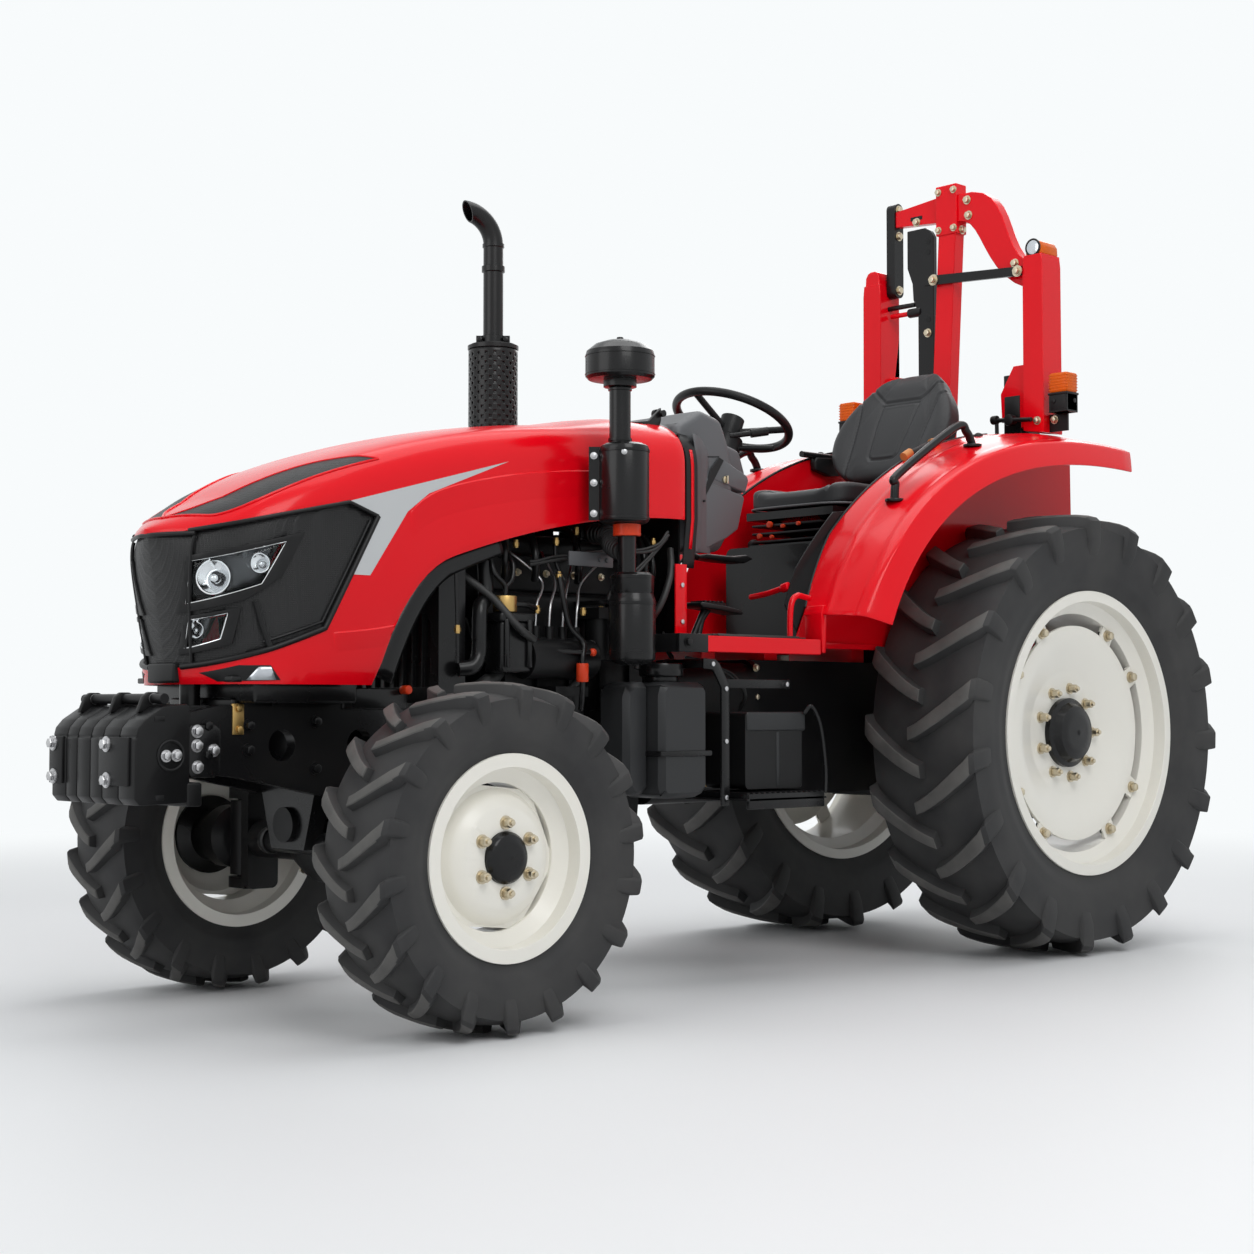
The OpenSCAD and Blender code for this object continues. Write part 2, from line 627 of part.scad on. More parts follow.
module platform() {
  color(red) {
    difference() {
      union() {
        box([1080, -450, floor_z - 6], [1640, 450, floor_z]);
        both() box([1046, 442, floor_z - 46], [1640, 450, floor_z]);
        box([1632, -450, floor_z - 46], [1640, 450, floor_z]);
        box([340, -291, floor_z - 6], [1081, 291, floor_z]);
      }
      box([1470, -260, floor_z - 60], [1660, 260, floor_z + 10]);
      // notch round the exhaust pipe
      box([1580, -hood_half - 140, floor_z - 60], [1660, -hood_half - 36, floor_z + 10]);
    }
    // supports down to the gear case
    for (x = [480, 900]) box([x, -140, case_top - 20], [x + 60, 140, floor_z - 5]);
    box([1160, -120, case_top - 30], [1220, 120, floor_z - 5]);
  }
}
module controls() {
  color(black) {
    // pedals on their arms
    for (p = [[1330, 190], [1330, -165], [1330, -242]]) {
      bar([p[0], p[1], floor_z + 4.4], [p[0] - 60, p[1], floor_z + 108], 9);
      translate([p[0] - 110, p[1] - 34, floor_z + 100]) cube([90, 68, 12]);
    }
    // gear and range levers beside the seat
    for (p = [[700, 215], [640, 215], [600, -215]]) {
      bar([p[0], p[1], floor_z + 0.9], [p[0] + 30, p[1], floor_z + 330], 8);
      translate([p[0] + 30, p[1], floor_z + 345]) sphere(20);
    }
  }
}
module seat_base() {
  color(black) {
    frame_x(340, 800) translate([-180, floor_z + 0.2]) rrect(360, seat_rise - 126, 26);
    // scissor suspension between two plates
    box([300, -150, seat_z - 128], [720, 150, seat_z - 112]);
    both() {
      bar([330, 120, seat_z - 116], [660, 120, seat_z - 20], 11);
      bar([660, 100, seat_z - 116], [330, 100, seat_z - 20], 11);
    }
    box([230, -190, seat_z - 26], [690, 190, seat_z - 0.2]);
    // back frame
    translate([226, 0, seat_z + 40]) rotate([0, -back_tilt, 0]) box([-26, -150, -66], [-0.2, 150, 330]);
    // arm rest on the right
    translate([226, 0, seat_z + 40]) rotate([0, -back_tilt, 0]) {
      bar([-14, -277, 240], [180, -277, 128], 11);
      bar([-14, -277, 240], [-14, -120, 240], 11);
    }
  }
}
module seat_cushion() {
  color(grey) translate([270, 0, seat_z]) slab(-225, 225) translate([10, 0]) rrect(418, 80, 30);
}
module seat_back() {
  color(grey) translate([226, 0, seat_z + 40]) rotate([0, -back_tilt, 0]) translate([0, 0, 70]) {
    frame_x(0, 95) polygon(concat([for (i = [0 : 12]) let (t = i / 12)
        [mix(200, 262, sin(180 * min(1, t * 1.25))) - 95 * pow(t, 6), 460 * t]],
      rev([for (i = [0 : 12]) let (t = i / 12)
        [-mix(200, 262, sin(180 * min(1, t * 1.25))) + 95 * pow(t, 6), 460 * t]])));
  }
}
// fender: a crowned cover between two rails, with a deep outer lip and an inner wall
fender_in = [[1040, floor_z + 76], [880, floor_z + 300], [520, floor_z + 830], [-470, floor_z + 728]];
fender_out = [[990, floor_z + 67], [880, floor_z + 330], [560, floor_z + 740], [-390, floor_z + 672]];
// from a point in X and Z toward the rear axle
function inward(p) = [-p[0], zr - p[1]] / norm([-p[0], zr - p[1]]);
function fender_row(t, d) = let (
    a = bez(fender_in, t),
    b = bez(fender_out, t),
    ya = mix(380, 296, min(1, t * 3.3)),
    yb = mix(575, 596, min(1, t * 4)),
    lip = b + 75 * inward(b))
  concat([for (c = [[0, 0], [0.28, 8], [0.6, 12], [0.88, 8], [1, 0]]) let (
      m = mix(a, b, c[0]),
      p = m + (d - c[1]) * inward(m))
    [p[0], mix(ya, yb, c[0]) - (c[0] == 1 ? d * 0.6 : 0), p[1]]],
    [[lip[0], 622 - d, lip[1]]]);
module fender() {
  n = 16;
  sheet([for (i = [0 : n]) rev(fender_row(i / n, 0))], [for (i = [0 : n]) rev(fender_row(i / n, 7))]);
  // inner wall down to the platform
  slab(291, 297) polygon(concat([[-480, floor_z + 120], [-300, floor_z - 20], [1000, floor_z - 20]],
    [for (i = [5 : 16]) bez(fender_in, i / 16) - [0, 3]]));
  slab(291, 310) translate([400, floor_z - 20]) square([560, 18]);
  // tab in front, down beside the platform
  slab(378, 446) polygon([[1018, floor_z - 40], [1034, floor_z - 40], [1038, floor_z + 80],
    [1026, floor_z + 104], [1010, floor_z + 104]]);
}
module fender_left() {
  color(red) fender();
}
module fender_right() {
  color(red) mirror([0, 1, 0]) fender();
}
// a point on the fender's top and the way it faces there
function fender_at(t, k) = fender_row(t, 0)[k];
function fender_up(t, k) = let (
    c = cross(fender_at(t + 0.05, k) - fender_at(t, k), fender_at(t, k + 1) - fender_at(t, k - 1)))
  c[2] > 0 ? c / norm(c) : -c / norm(c);
module handrails() {
  a = fender_at(0.41, 2) + 15.2 * fender_up(0.41, 2);
  d = fender_at(0.68, 2) + 15.2 * fender_up(0.68, 2);
  b = a + [-10, 0, 80];
  c = d + [60, 0, 70];
  color(black) both() {
    bar(a, b, 13);
    bar(b, c, 13);
    bar(c, d, 13);
    for (q = [a, b, c, d]) translate(q) sphere(15);
  }
}
// roll frame and mast
module post_feet() {
  color(black) both() box([-300, 218, zr + 150], [-190, 290, floor_z + 960]);
}
module roll_posts() {
  color(red) {
    both() {
      difference() {
        frame_x(-275, -165) polygon([[318, floor_z + 754], [402, floor_z + 742], [400, post_z - 90],
          [396, post_z - 52], [322, post_z - 52], [318, post_z - 80]]);
        box([-267, 326, floor_z + 700], [-173, 387, post_z - 70]);
      }
      slab(290.2, 320) polygon([[-272, floor_z + 770], [-190, floor_z + 770], [-190, floor_z + 960],
        [-225, floor_z + 1020], [-272, floor_z + 1020]]);
    }
    // the right post ends in a cap, the left one in a lamp
    translate([0, 0, -0.5]) mirror([0, 1, 0]) frame_x(-271, -169) post_cap();
  }
}
module post_cap() {
  polygon([[326, post_z - 51.8], [392, post_z - 51.8], [390, post_z - 22], [380, post_z - 6], [366, post_z],
    [348, post_z], [334, post_z - 6], [327, post_z - 24]]);
}
module mast_post() {
  color(red) {
    slab(-64, 12) polygon([[-240, mast_z - 172], [-188, mast_z - 172], [-92, lift_top + 20],
      [-144, lift_top + 20]]);
    box([-242, -72, mast_z - 180], [-184, 20, mast_z]);
    box([-232, -152, lift_top + 0.2], [-60, 120, lift_top + 24]);
  }
}
module mast_arms() {
  color(red) {
    // curved arm to the left post
    frame_x(-238, -192) polygon(concat(
      [for (i = [0 : 10]) bez([[20.2, mast_z - 42], [260, mast_z - 20], [190, mast_z - 250],
        [317.8, mast_z - 330]], i / 10)],
      rev([for (i = [0 : 10]) bez([[20.2, mast_z - 140], [130, mast_z - 130], [120, mast_z - 350],
        [317.8, mast_z - 425]], i / 10)])));
    // short arm to the link on the right
    frame_x(-236, -206) polygon([[-72.2, mast_z - 32], [-72.2, mast_z - 125], [-276.8, mast_z - 108],
      [-276.8, mast_z - 52]]);
  }
}
module mast_plate() {
  color(black) frame_x(-226, -206) polygon([[-152, lift_top + 24.2], [-102, lift_top + 24.2],
    [-102, mast_z - 170], [-116, mast_z - 146], [-140, mast_z - 132], [-223, mast_z - 132],
    [-223, mast_z - 270], [-200, mast_z - 330], [-196, mast_z - 390], [-174, mast_z - 440],
    [-174, lift_top + 330], [-152, lift_top + 300]]);
}
module mast_links() {
  color(black) {
    // hanging link beside the right post
    slab(-315, -277) translate([-251, mast_z - 368]) rrect(51, 352, 25);
    pin_y(-216, mast_z - 405, -317.8, -194.2, 9);
    // tie bar from the mast to the left post
    frame_x(-174, -161) polygon([[-112, mast_z - 356], [317.8, mast_z - 384], [317.8, mast_z - 352],
      [-112, mast_z - 322]]);
  }
}
// lamps
module lamp_brackets() {
  color(black) both() {
    box([-206, 402.2, floor_z + 744], [-198, 476, floor_z + 804]);
    box([-214, 434, floor_z + 803], [-150, 507, floor_z + 868]);
  }
}
module turn_lamps() {
  color(amber) {
    both() box([-214, 434, floor_z + 868.2], [-150, 507, floor_z + 938]);
    frame_x(-271, -169) post_cap();
  }
}
// side boxes
module fuel_tank() {
  color(black) {
    slab(250, 430) translate([1495, floor_z - 460]) rrect(280, 366, 40);
    translate([1640, 340, floor_z - 100]) cylinder(h = 30, r = 40);
    // hanger to the bell housing
    box([1500, eng_half + 14.2, floor_z - 250], [1760, 251, floor_z - 210]);
    for (x = [1560, 1700]) slab(248, 436) translate([x, floor_z - 470]) square([34, 384]);
  }
}
module battery_box() {
  color(black) {
    slab(250, 430) translate([1110, zr - 156]) rrect(244, 224, 16);
    box([1150, 185.2, zr - 96], [1330, 251, zr - 56]);
    // step below, on two straps
    box([1080, 250, zr - 186], [1420, 500, zr - 180]);
    for (x = [1100, 1390]) box([x, 250, zr - 186], [x + 12, 300, zr - 116]);
    box([1100, 250, zr - 122], [1402, 262, zr - 76]);
  }
}
module tool_box() {
  color(black) mirror([0, 1, 0]) {
    slab(250, 420) translate([1110, zr - 116]) rrect(300, 220, 16);
    box([1150, 185.2, zr - 76], [1330, 251, zr - 36]);
    box([1080, 250, zr - 186], [1420, 500, zr - 180]);
    for (x = [1100, 1390]) box([x, 250, zr - 186], [x + 12, 300, zr - 96]);
  }
}
// rear hitch
module drawbar() {
  color(black) {
    difference() {
      slab(-38, 38) polygon([[-660, case_bot - 62], [100, case_bot - 62], [100, case_bot - 30],
        [-660, case_bot - 30]]);
      translate([-610, 0, case_bot - 100]) cylinder(h = 120, r = 15.5);
    }
    for (x = [-240, 40]) box([x, -60, case_bot - 70], [x + 50, 60, case_bot - 0.2]);
  }
}
module pto_shaft() {
  color(steel) {
    pin_x(0, zr - 90, -350, -262.2, 17.5);
    pin_x(0, zr - 90, -274, -262.2, 60);
  }
}
function swing(l, y) = [-l * cos(rest_a), y, -l * sin(rest_a)];
module lift_arms() {
  p = [shaft_x, 0, shaft_z];
  color(black) both() difference() {
    union() {
      pin_y(shaft_x, shaft_z, arm_y - 20, arm_y + 20, 52);
      translate(p) rotate([0, -rest_a, 0]) slab(arm_y - 9, arm_y + 9) polygon([[-36, -30], [-36, 30],
        [-arm_len + 16, 18], [-arm_len + 16, -18]]);
      translate(p + swing(arm_len, 0)) pin_y(0, 0, arm_y - 13, arm_y + 13, 28);
    }
    pin_y(shaft_x, shaft_z, 0, 300, 30.3);
    translate(p + swing(arm_len, 0)) pin_y(0, 0, 0, 300, 12.3);
  }
}
module lift_rods() {
  a = [shaft_x, arm_y + 26, shaft_z] + swing(arm_len, 0);
  b = [link_x, rod_y - 34, link_z] + swing(arm_len, 0);
  color(steel) both() {
    bar(a, b, 12);
    bar(mix(a, b, 0.3), mix(a, b, 0.7), 19);
    translate(a - [0, arm_y + 26, 0]) {
      pin_y(0, 0, arm_y - 16, arm_y + 40, 12);
      pin_y(0, 0, arm_y + 14, arm_y + 40, 24);
    }
    translate(b - [0, rod_y - 34, 0]) pin_y(0, 0, rod_y - 46, rod_y - 20, 22);
  }
}
module lower_links() {
  color(black) both() difference() {
    union() {
      translate([link_x, link_y0, link_z]) rotate([0, -rest_a, 0])
        rotate([0, 0, -atan2(link_y1 - link_y0, link_len)]) slab(-12, 12)
        polygon([[0, -30], [0, 30], [-link_len * 0.35, 40], [-link_len * 0.55, 40],
          [-link_len * 1.02, 28], [-link_len * 1.02, -28], [-link_len * 0.5, -34]]);
      pin_y(link_x, link_z, link_y0 - 18, link_y0 + 18, 34);
      translate([link_x, 0, link_z] + swing(link_len, 0)) pin_y(0, 0, link_y1 - 22, link_y1 + 22, 40);
    }
    pin_y(link_x, link_z, 0, 400, 17.3);
    translate([link_x, 0, link_z] + swing(link_len, 0)) pin_y(0, 0, 200, 500, 14.3);
  }
}

module knuckle_left() {
  color(black) knuckle();
}
module knuckle_right() {
  color(black) mirror([0, 1, 0]) knuckle();
}
module front_tyre_left() {
  color(rubber) front_place(1) tyre(front_r, front_w, front_lug, front_lugs, front_flange_r, front_flange_y);
}
module front_rim_left() {
  color(cream) front_place(1) front_rim();
}
module front_hub_left() {
  color(black) front_place(1) front_hub();
}
module front_tyre_right() {
  color(rubber) front_place(-1) tyre(front_r, front_w, front_lug, front_lugs, front_flange_r, front_flange_y);
}
module front_rim_right() {
  color(cream) front_place(-1) front_rim();
}
module front_hub_right() {
  color(black) front_place(-1) front_hub();
}
module rear_tyre_left() {
  color(rubber) rear_place(1) tyre(rear_r, rear_w, rear_lug, rear_lugs, rear_flange_r, rear_flange_y);
}
module rear_rim_left() {
  color(cream) rear_place(1) rear_rim();
}
module rear_hub_left() {
  color(black) rear_place(1) rear_hub();
}
module rear_tyre_right() {
  color(rubber) rear_place(-1) tyre(rear_r, rear_w, rear_lug, rear_lugs, rear_flange_r, rear_flange_y);
}
module rear_rim_right() {
  color(cream) rear_place(-1) rear_rim();
}
module rear_hub_right() {
  color(black) rear_place(-1) rear_hub();
}

translate([rear_axle_x, 0, 0]) {
  gear_case();
  axle_trumpets();
  engine();
  engine_fittings();
  radiator();
  front_frame();
  front_weights();
  front_axle();
  air_cleaner();
  exhaust();
  bulkhead();
  console();
  steering_column();
  platform();
  controls();
  seat_base();
  seat_cushion();
  seat_back();
  fender_left();
  fender_right();
  handrails();
  post_feet();
  roll_posts();
  mast_post();
  mast_arms();
  mast_plate();
  mast_links();
  turn_lamps();
  lamp_brackets();
  fuel_tank();
  battery_box();
  tool_box();
  drawbar();
  pto_shaft();
  knuckle_left();
  knuckle_right();
  tie_rod();
  steering_wheel();
  hood_shell();
  grille();
  headlamps();
  lift_arms();
  lift_rods();
  lower_links();
  front_tyre_left();
  front_rim_left();
  front_hub_left();
  front_tyre_right();
  front_rim_right();
  front_hub_right();
  rear_tyre_left();
  rear_rim_left();
  rear_hub_left();
  rear_tyre_right();
  rear_rim_right();
  rear_hub_right();
}
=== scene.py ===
"""Looks of the open-platform farm tractor, laid out as an add-on and run as a script."""

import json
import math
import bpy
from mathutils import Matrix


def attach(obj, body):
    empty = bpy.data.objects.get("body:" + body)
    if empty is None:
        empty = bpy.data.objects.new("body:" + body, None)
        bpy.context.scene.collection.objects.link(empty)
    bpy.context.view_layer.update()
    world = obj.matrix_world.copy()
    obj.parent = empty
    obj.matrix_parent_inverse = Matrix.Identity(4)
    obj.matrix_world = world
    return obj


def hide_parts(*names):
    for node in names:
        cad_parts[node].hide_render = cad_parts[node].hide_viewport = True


bl_info = {
    "name": "Farm tractor looks",
    "version": (1, 0, 0),
    "blender": (4, 5, 0),
    "location": "View3D > Sidebar > Tractor",
    "description": "Dresses the packed tractor frame with tyres, sheet metal, seat and trim",
    "category": "Object",
}

import bmesh
import bpy
from mathutils import Matrix, Vector

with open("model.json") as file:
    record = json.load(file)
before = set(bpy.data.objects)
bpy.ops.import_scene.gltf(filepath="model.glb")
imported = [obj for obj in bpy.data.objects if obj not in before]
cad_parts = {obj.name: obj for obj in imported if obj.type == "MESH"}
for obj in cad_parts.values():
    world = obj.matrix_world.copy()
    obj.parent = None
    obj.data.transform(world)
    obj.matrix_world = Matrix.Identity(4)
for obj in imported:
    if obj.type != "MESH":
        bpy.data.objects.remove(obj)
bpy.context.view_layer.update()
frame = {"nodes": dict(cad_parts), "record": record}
JOINTS = {j["name"]: j for j in frame["record"]["behaviour"]["joints"]}
REAR_HUB = Vector(JOINTS["rear_left_spin"]["pos_m"])
FRONT_HUB = Vector(JOINTS["front_left_spin"]["pos_m"])
AX = REAR_HUB.x
FX = (FRONT_HUB.x - AX) * 1000
SIDES = (("left", 1), ("right", -1))
SURROUND = (0.94, 0.965, 0.975, 1)
JOIN = 1e-5
HOOD_X0 = 1452
NOSE = 597


# settings


def size_mm(name, default, description="Over the lugs, mm"):
    """A length setting."""
    return bpy.props.FloatProperty(name=name, description=description, default=default)


def count(name, default):
    """A number of lugs."""
    return bpy.props.IntProperty(name=name, description="On one side of the tyre", default=default)


def paint(name, description, default):
    """A colour setting."""
    return bpy.props.FloatVectorProperty(name=name, description=description, subtype="COLOR", size=3, default=default)


class TractorSizes(bpy.types.PropertyGroup):
    """Sizes of the dressed pieces, in millimetres about the rear axle."""

    rear_radius: size_mm("Rear tyre radius", REAR_HUB.z * 1000)
    rear_width: size_mm("Rear tyre width", 422.0)
    rear_lugs: count("Rear lugs", 19)
    front_radius: size_mm("Front tyre radius", FRONT_HUB.z * 1000)
    front_width: size_mm("Front tyre width", 278.0)
    front_lugs: count("Front lugs", 18)
    hood_half: size_mm("Hood half width", 292.0, "At its widest, mm")
    floor_z: size_mm("Platform height", 1000.0, "Top of the floor, mm")
    seat_z: size_mm("Seat height", 1446.0, "Underside of the cushion, mm")


class TractorColours(bpy.types.PropertyGroup):
    """Base colours of the finishes, linear."""

    red: paint("Red paint", "Sheet metal", (0.8, 0.0015, 0.009))
    black: paint("Black paint", "Castings and brackets", (0.006, 0.006, 0.0065))
    cream: paint("Rim paint", "Wheel rims", (0.88, 0.86, 0.79))
    rubber: paint("Rubber", "Tyres", (0.027, 0.027, 0.028))
    grey: paint("Grey plastic", "Console", (0.087, 0.09, 0.096))


def sizes():
    """The sizes in the scene's settings."""
    return bpy.context.scene.tractor_sizes


def colours():
    """The colours in the scene's settings."""
    return bpy.context.scene.tractor_colours


# small tools


def mm(x, y, z):
    """A point in millimetres about the rear axle, in the shared frame."""
    return Vector((AX + x * 0.001, y * 0.001, z * 0.001))


def mix(a, b, t):
    """The value a share of the way from a to b."""
    return a + (b - a) * t


def clamp(v):
    """A share, held between 0 and 1."""
    return max(0, min(1, v))


def bez(p, t):
    """A cubic curve through four values."""
    return (1 - t) ** 3 * p[0] + 3 * t * (1 - t) ** 2 * p[1] + 3 * t * t * (1 - t) * p[2] + t**3 * p[3]


def bez2(p, t):
    """A cubic curve in the plane."""
    return tuple(bez([q[i] for q in p], t) for i in range(2))


def groove(d, width):
    """A soft bump of height one at distance zero."""
    return math.exp(-((d / width) ** 2))


def outward(bm):
    """Turns the faces of closed solids outwards."""
    bmesh.ops.recalc_face_normals(bm, faces=bm.faces)


def upward(bm):
    """Turns the faces of an open sheet to the side that looks up."""
    outward(bm)
    if sum(f.normal.z * f.calc_area() for f in bm.faces) < 0:
        bmesh.ops.reverse_faces(bm, faces=bm.faces)


def sideways(bm):
    """Turns the faces of open sheets on both flanks away from the middle."""
    outward(bm)
    bad = [f for f in bm.faces if f.normal.y * f.calc_center_median().y < 0]
    bmesh.ops.reverse_faces(bm, faces=bad)


def add_piece(name, bm, look, nodes=(), smooth=None, body="chassis", weld=True):
    """Makes a finished bmesh an object that rides on a body."""
    if weld:
        bmesh.ops.remove_doubles(bm, verts=bm.verts, dist=JOIN)
    mesh = bpy.data.meshes.new(name)
    for f in bm.faces:
        f.smooth = True
    bm.to_mesh(mesh)
    bm.free()
    obj = bpy.data.objects.new(name, mesh)
    bpy.context.scene.collection.objects.link(obj)
    mesh.materials.append(finish(look))
    if smooth is not None:
        mesh.set_sharp_from_angle(angle=math.radians(smooth))
    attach(obj, body)
    if nodes:
        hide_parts(*nodes)
    return obj


def solid(name, bm, look, nodes=(), smooth=35, body="chassis"):
    """A piece made of closed solids that may run into each other."""
    outward(bm)
    return add_piece(name, bm, look, nodes, smooth, body, weld=False)


def chain(bm, points, closed=False):
    """Vertices joined by edges in order."""
    verts = [bm.verts.new(p) for p in points]
    edges = [bm.edges.new((verts[i], verts[i + 1])) for i in range(len(verts) - 1)]
    if closed:
        edges.append(bm.edges.new((verts[-1], verts[0])))
    return verts, edges


def loft(bm, rows, closed=False, cap=False):
    """Extrudes a row of edges through the following rows."""
    verts, edges = chain(bm, rows[0], closed)
    made = [verts]
    if cap:
        bmesh.ops.contextual_create(bm, geom=verts)
    for row in rows[1:]:
        out = bmesh.ops.extrude_edge_only(bm, edges=edges)["geom"]
        pool = {g for g in out if isinstance(g, bmesh.types.BMVert)}
        order = [next(e.other_vert(v) for e in v.link_edges if e.other_vert(v) in pool) for v in verts]
        for v, p in zip(order, row):
            v.co = p
        edges = [bm.edges.get((order[i], order[i + 1])) for i in range(len(order) - 1)]
        if closed:
            edges.append(bm.edges.get((order[-1], order[0])))
        verts = order
        made.append(verts)
    if cap:
        bmesh.ops.contextual_create(bm, geom=verts)
    return made


def spin(bm, points, centre, axis, steps=96, closed=False):
    """Turns a profile all the way round an axis."""
    verts, edges = chain(bm, points, closed)
    bmesh.ops.spin(
        bm, geom=verts + edges, cent=centre, axis=axis, dvec=(0, 0, 0), angle=math.tau, steps=steps, use_merge=True
    )


def tube(bm, path, r, seg=14, cap=True):
    """A round tube along a path of points."""
    rows = []
    up = Vector((0, 0, 1))
    prev = None
    for i, p in enumerate(path):
        a = path[max(0, i - 1)]
        b = path[min(len(path) - 1, i + 1)]
        d = (b - a).normalized()
        n = prev - d * prev.dot(d) if prev else up - d * up.dot(d)
        if n.length < 1e-4:
            n = Vector((1, 0, 0)) - d * d.x
        n.normalize()
        prev = n
        m = d.cross(n)
        turns = [k * math.tau / seg for k in range(seg)]
        rows.append([p + r * (math.cos(a) * n + math.sin(a) * m) for a in turns])
    loft(bm, rows, closed=True, cap=cap)


def smooth_path(points, n=8):
    """A rounded path through corner points."""
    pts = []
    for i in range(len(points) - 1):
        p0 = points[max(0, i - 1)]
        p1, p2 = points[i], points[i + 1]
        p3 = points[min(len(points) - 1, i + 2)]
        for k in range(n):
            t = k / n
            square = (2 * p0 - 5 * p1 + 4 * p2 - p3) * t * t
            cube = (3 * p1 - p0 - 3 * p2 + p3) * t**3
            pts.append(0.5 * ((2 * p1) + (p2 - p0) * t + square + cube))
    pts.append(points[-1])
    return pts


def pipe(bm, points, r, seg=14, n=8):
    """A round tube on a rounded path through points in millimetres."""
    tube(bm, smooth_path([mm(*p) for p in points], n), r, seg)


def rod(bm, points, r, seg=14):
    """A round tube straight from point to point in millimetres."""
    tube(bm, [mm(*p) for p in points], r, seg)


def turned(axis):
    """Rotation that takes Z to an axis."""
    return Vector((0, 0, 1)).rotation_difference(Vector(axis)).to_matrix().to_4x4()


def disc(bm, centre, axis, r, h, seg=24, bevel=0.0, r2=None):
    """A cylinder standing on a point along an axis, with an eased rim."""
    m = Matrix.Translation(centre) @ turned(axis) @ Matrix.Translation((0, 0, h / 2))
    out = bmesh.ops.create_cone(
        bm, cap_ends=True, segments=seg, radius1=r, radius2=r if r2 is None else r2, depth=h, matrix=m
    )
    if bevel:
        top = [e for v in out["verts"] for e in v.link_edges]
        edges = list({e for e in top if len(e.link_faces) == 2 and e.calc_face_angle(0) > 0.8})
        ease(bm, edges, bevel)
    return out


def bolt(bm, centre, axis, r, h):
    """Hexagon head on a washer."""
    disc(bm, centre, axis, r * 1.35, h * 0.18, 16)
    disc(bm, Vector(centre) + Vector(axis).normalized() * h * 0.18, axis, r, h * 0.82, 6, bevel=r * 0.12)


def ease(bm, edges, width, seg=2):
    """Rounds some edges off."""
    bmesh.ops.bevel(
        bm, geom=edges, offset=width, offset_type="OFFSET", segments=seg, profile=0.5, affect="EDGES", material=-1
    )


def block(bm, a, b, bevel=0.0, seg=2):
    """A box between two corners in millimetres, given in any order, with eased edges."""
    a, b = mm(*map(min, a, b)), mm(*map(max, a, b))
    m = Matrix.Translation((a + b) / 2) @ Matrix.Diagonal((*(b - a), 1))
    out = bmesh.ops.create_cube(bm, size=1.0, matrix=m)
    if bevel:
        ease(bm, list({e for v in out["verts"] for e in v.link_edges}), bevel, seg)


def plate(bm, points, direction, bevel=0.0, seg=2):
    """A flat outline pushed out along a direction."""
    verts = [bm.verts.new(p) for p in points]
    face = bm.faces.new(verts)
    out = bmesh.ops.extrude_face_region(bm, geom=[face])["geom"]
    moved = [g for g in out if isinstance(g, bmesh.types.BMVert)]
    bmesh.ops.translate(bm, verts=moved, vec=Vector(direction))
    allv = verts + moved
    bmesh.ops.recalc_face_normals(bm, faces=list({f for v in allv for f in v.link_faces}))
    if bevel:
        ease(bm, list({e for v in allv for e in v.link_edges}), bevel, seg)


def slab(bm, points, y, thick, bevel=0.0, seg=2):
    """A side-view outline in millimetres that starts at Y and is so many metres thick."""
    plate(bm, [mm(x, y, z) for x, z in points], (0, thick, 0), bevel, seg)


def fill(node, values):
    """Sets the constants of a node's inputs."""
    for key, value in values.items():
        node.inputs[key].default_value = value


def put(tree, kind, inputs=(), **settings):
    """A new node with its settings and constants."""
    node = tree.nodes.new(kind)
    for key, value in settings.items():
        setattr(node, key, value)
    fill(node, dict(inputs))
    return node


def wire(tree, *pairs):
    """Links outputs to inputs."""
    for a, b in pairs:
        tree.links.new(a, b)


# finishes


def surface_group():
    """Colour drift, roughness drift and fine grain shared by all finishes."""
    if "surface_drift" in bpy.data.node_groups:
        return bpy.data.node_groups["surface_drift"]
    g = bpy.data.node_groups.new("surface_drift", "ShaderNodeTree")
    for way, names in (
        ("INPUT", {"Colour": None, "Dust": None, "Spread": 0.2, "Scale": 4.0, "Grain": 120.0, "Roughness": 0.4}),
        ("OUTPUT", {"Colour": None, "Roughness": 0.0, "Height": 0.0}),
    ):
        for name, value in names.items():
            kind = "NodeSocketColor" if value is None else "NodeSocketFloat"
            s = g.interface.new_socket(name=name, in_out=way, socket_type=kind)
            if value:
                s.default_value = value
    gi, go = put(g, "NodeGroupInput").outputs, put(g, "NodeGroupOutput").inputs
    place = put(g, "ShaderNodeTexCoord").outputs["Object"]
    big = put(g, "ShaderNodeTexNoise", {"Detail": 5.0})
    fine = put(g, "ShaderNodeTexNoise", {"Detail": 3.0})
    ramp = put(g, "ShaderNodeMapRange", {"From Min": 0.35, "From Max": 0.8})
    amount = put(g, "ShaderNodeMath", operation="MULTIPLY")
    blend = put(g, "ShaderNodeMix", data_type="RGBA")
    rough = put(g, "ShaderNodeMath", {1: 0.12}, operation="MULTIPLY_ADD")
    drift = ramp.outputs["Result"]
    wire(
        g,
        (place, big.inputs["Vector"]),
        (place, fine.inputs["Vector"]),
        (gi["Scale"], big.inputs["Scale"]),
        (gi["Grain"], fine.inputs["Scale"]),
        (big.outputs["Fac"], ramp.inputs["Value"]),
        (drift, amount.inputs[0]),
        (gi["Spread"], amount.inputs[1]),
        (amount.outputs[0], blend.inputs["Factor"]),
        (gi["Colour"], blend.inputs[6]),
        (gi["Dust"], blend.inputs[7]),
        (blend.outputs[2], go["Colour"]),
        (drift, rough.inputs[0]),
        (gi["Roughness"], rough.inputs[2]),
        (rough.outputs[0], go["Roughness"]),
        (fine.outputs["Fac"], go["Height"]),
    )
    return g


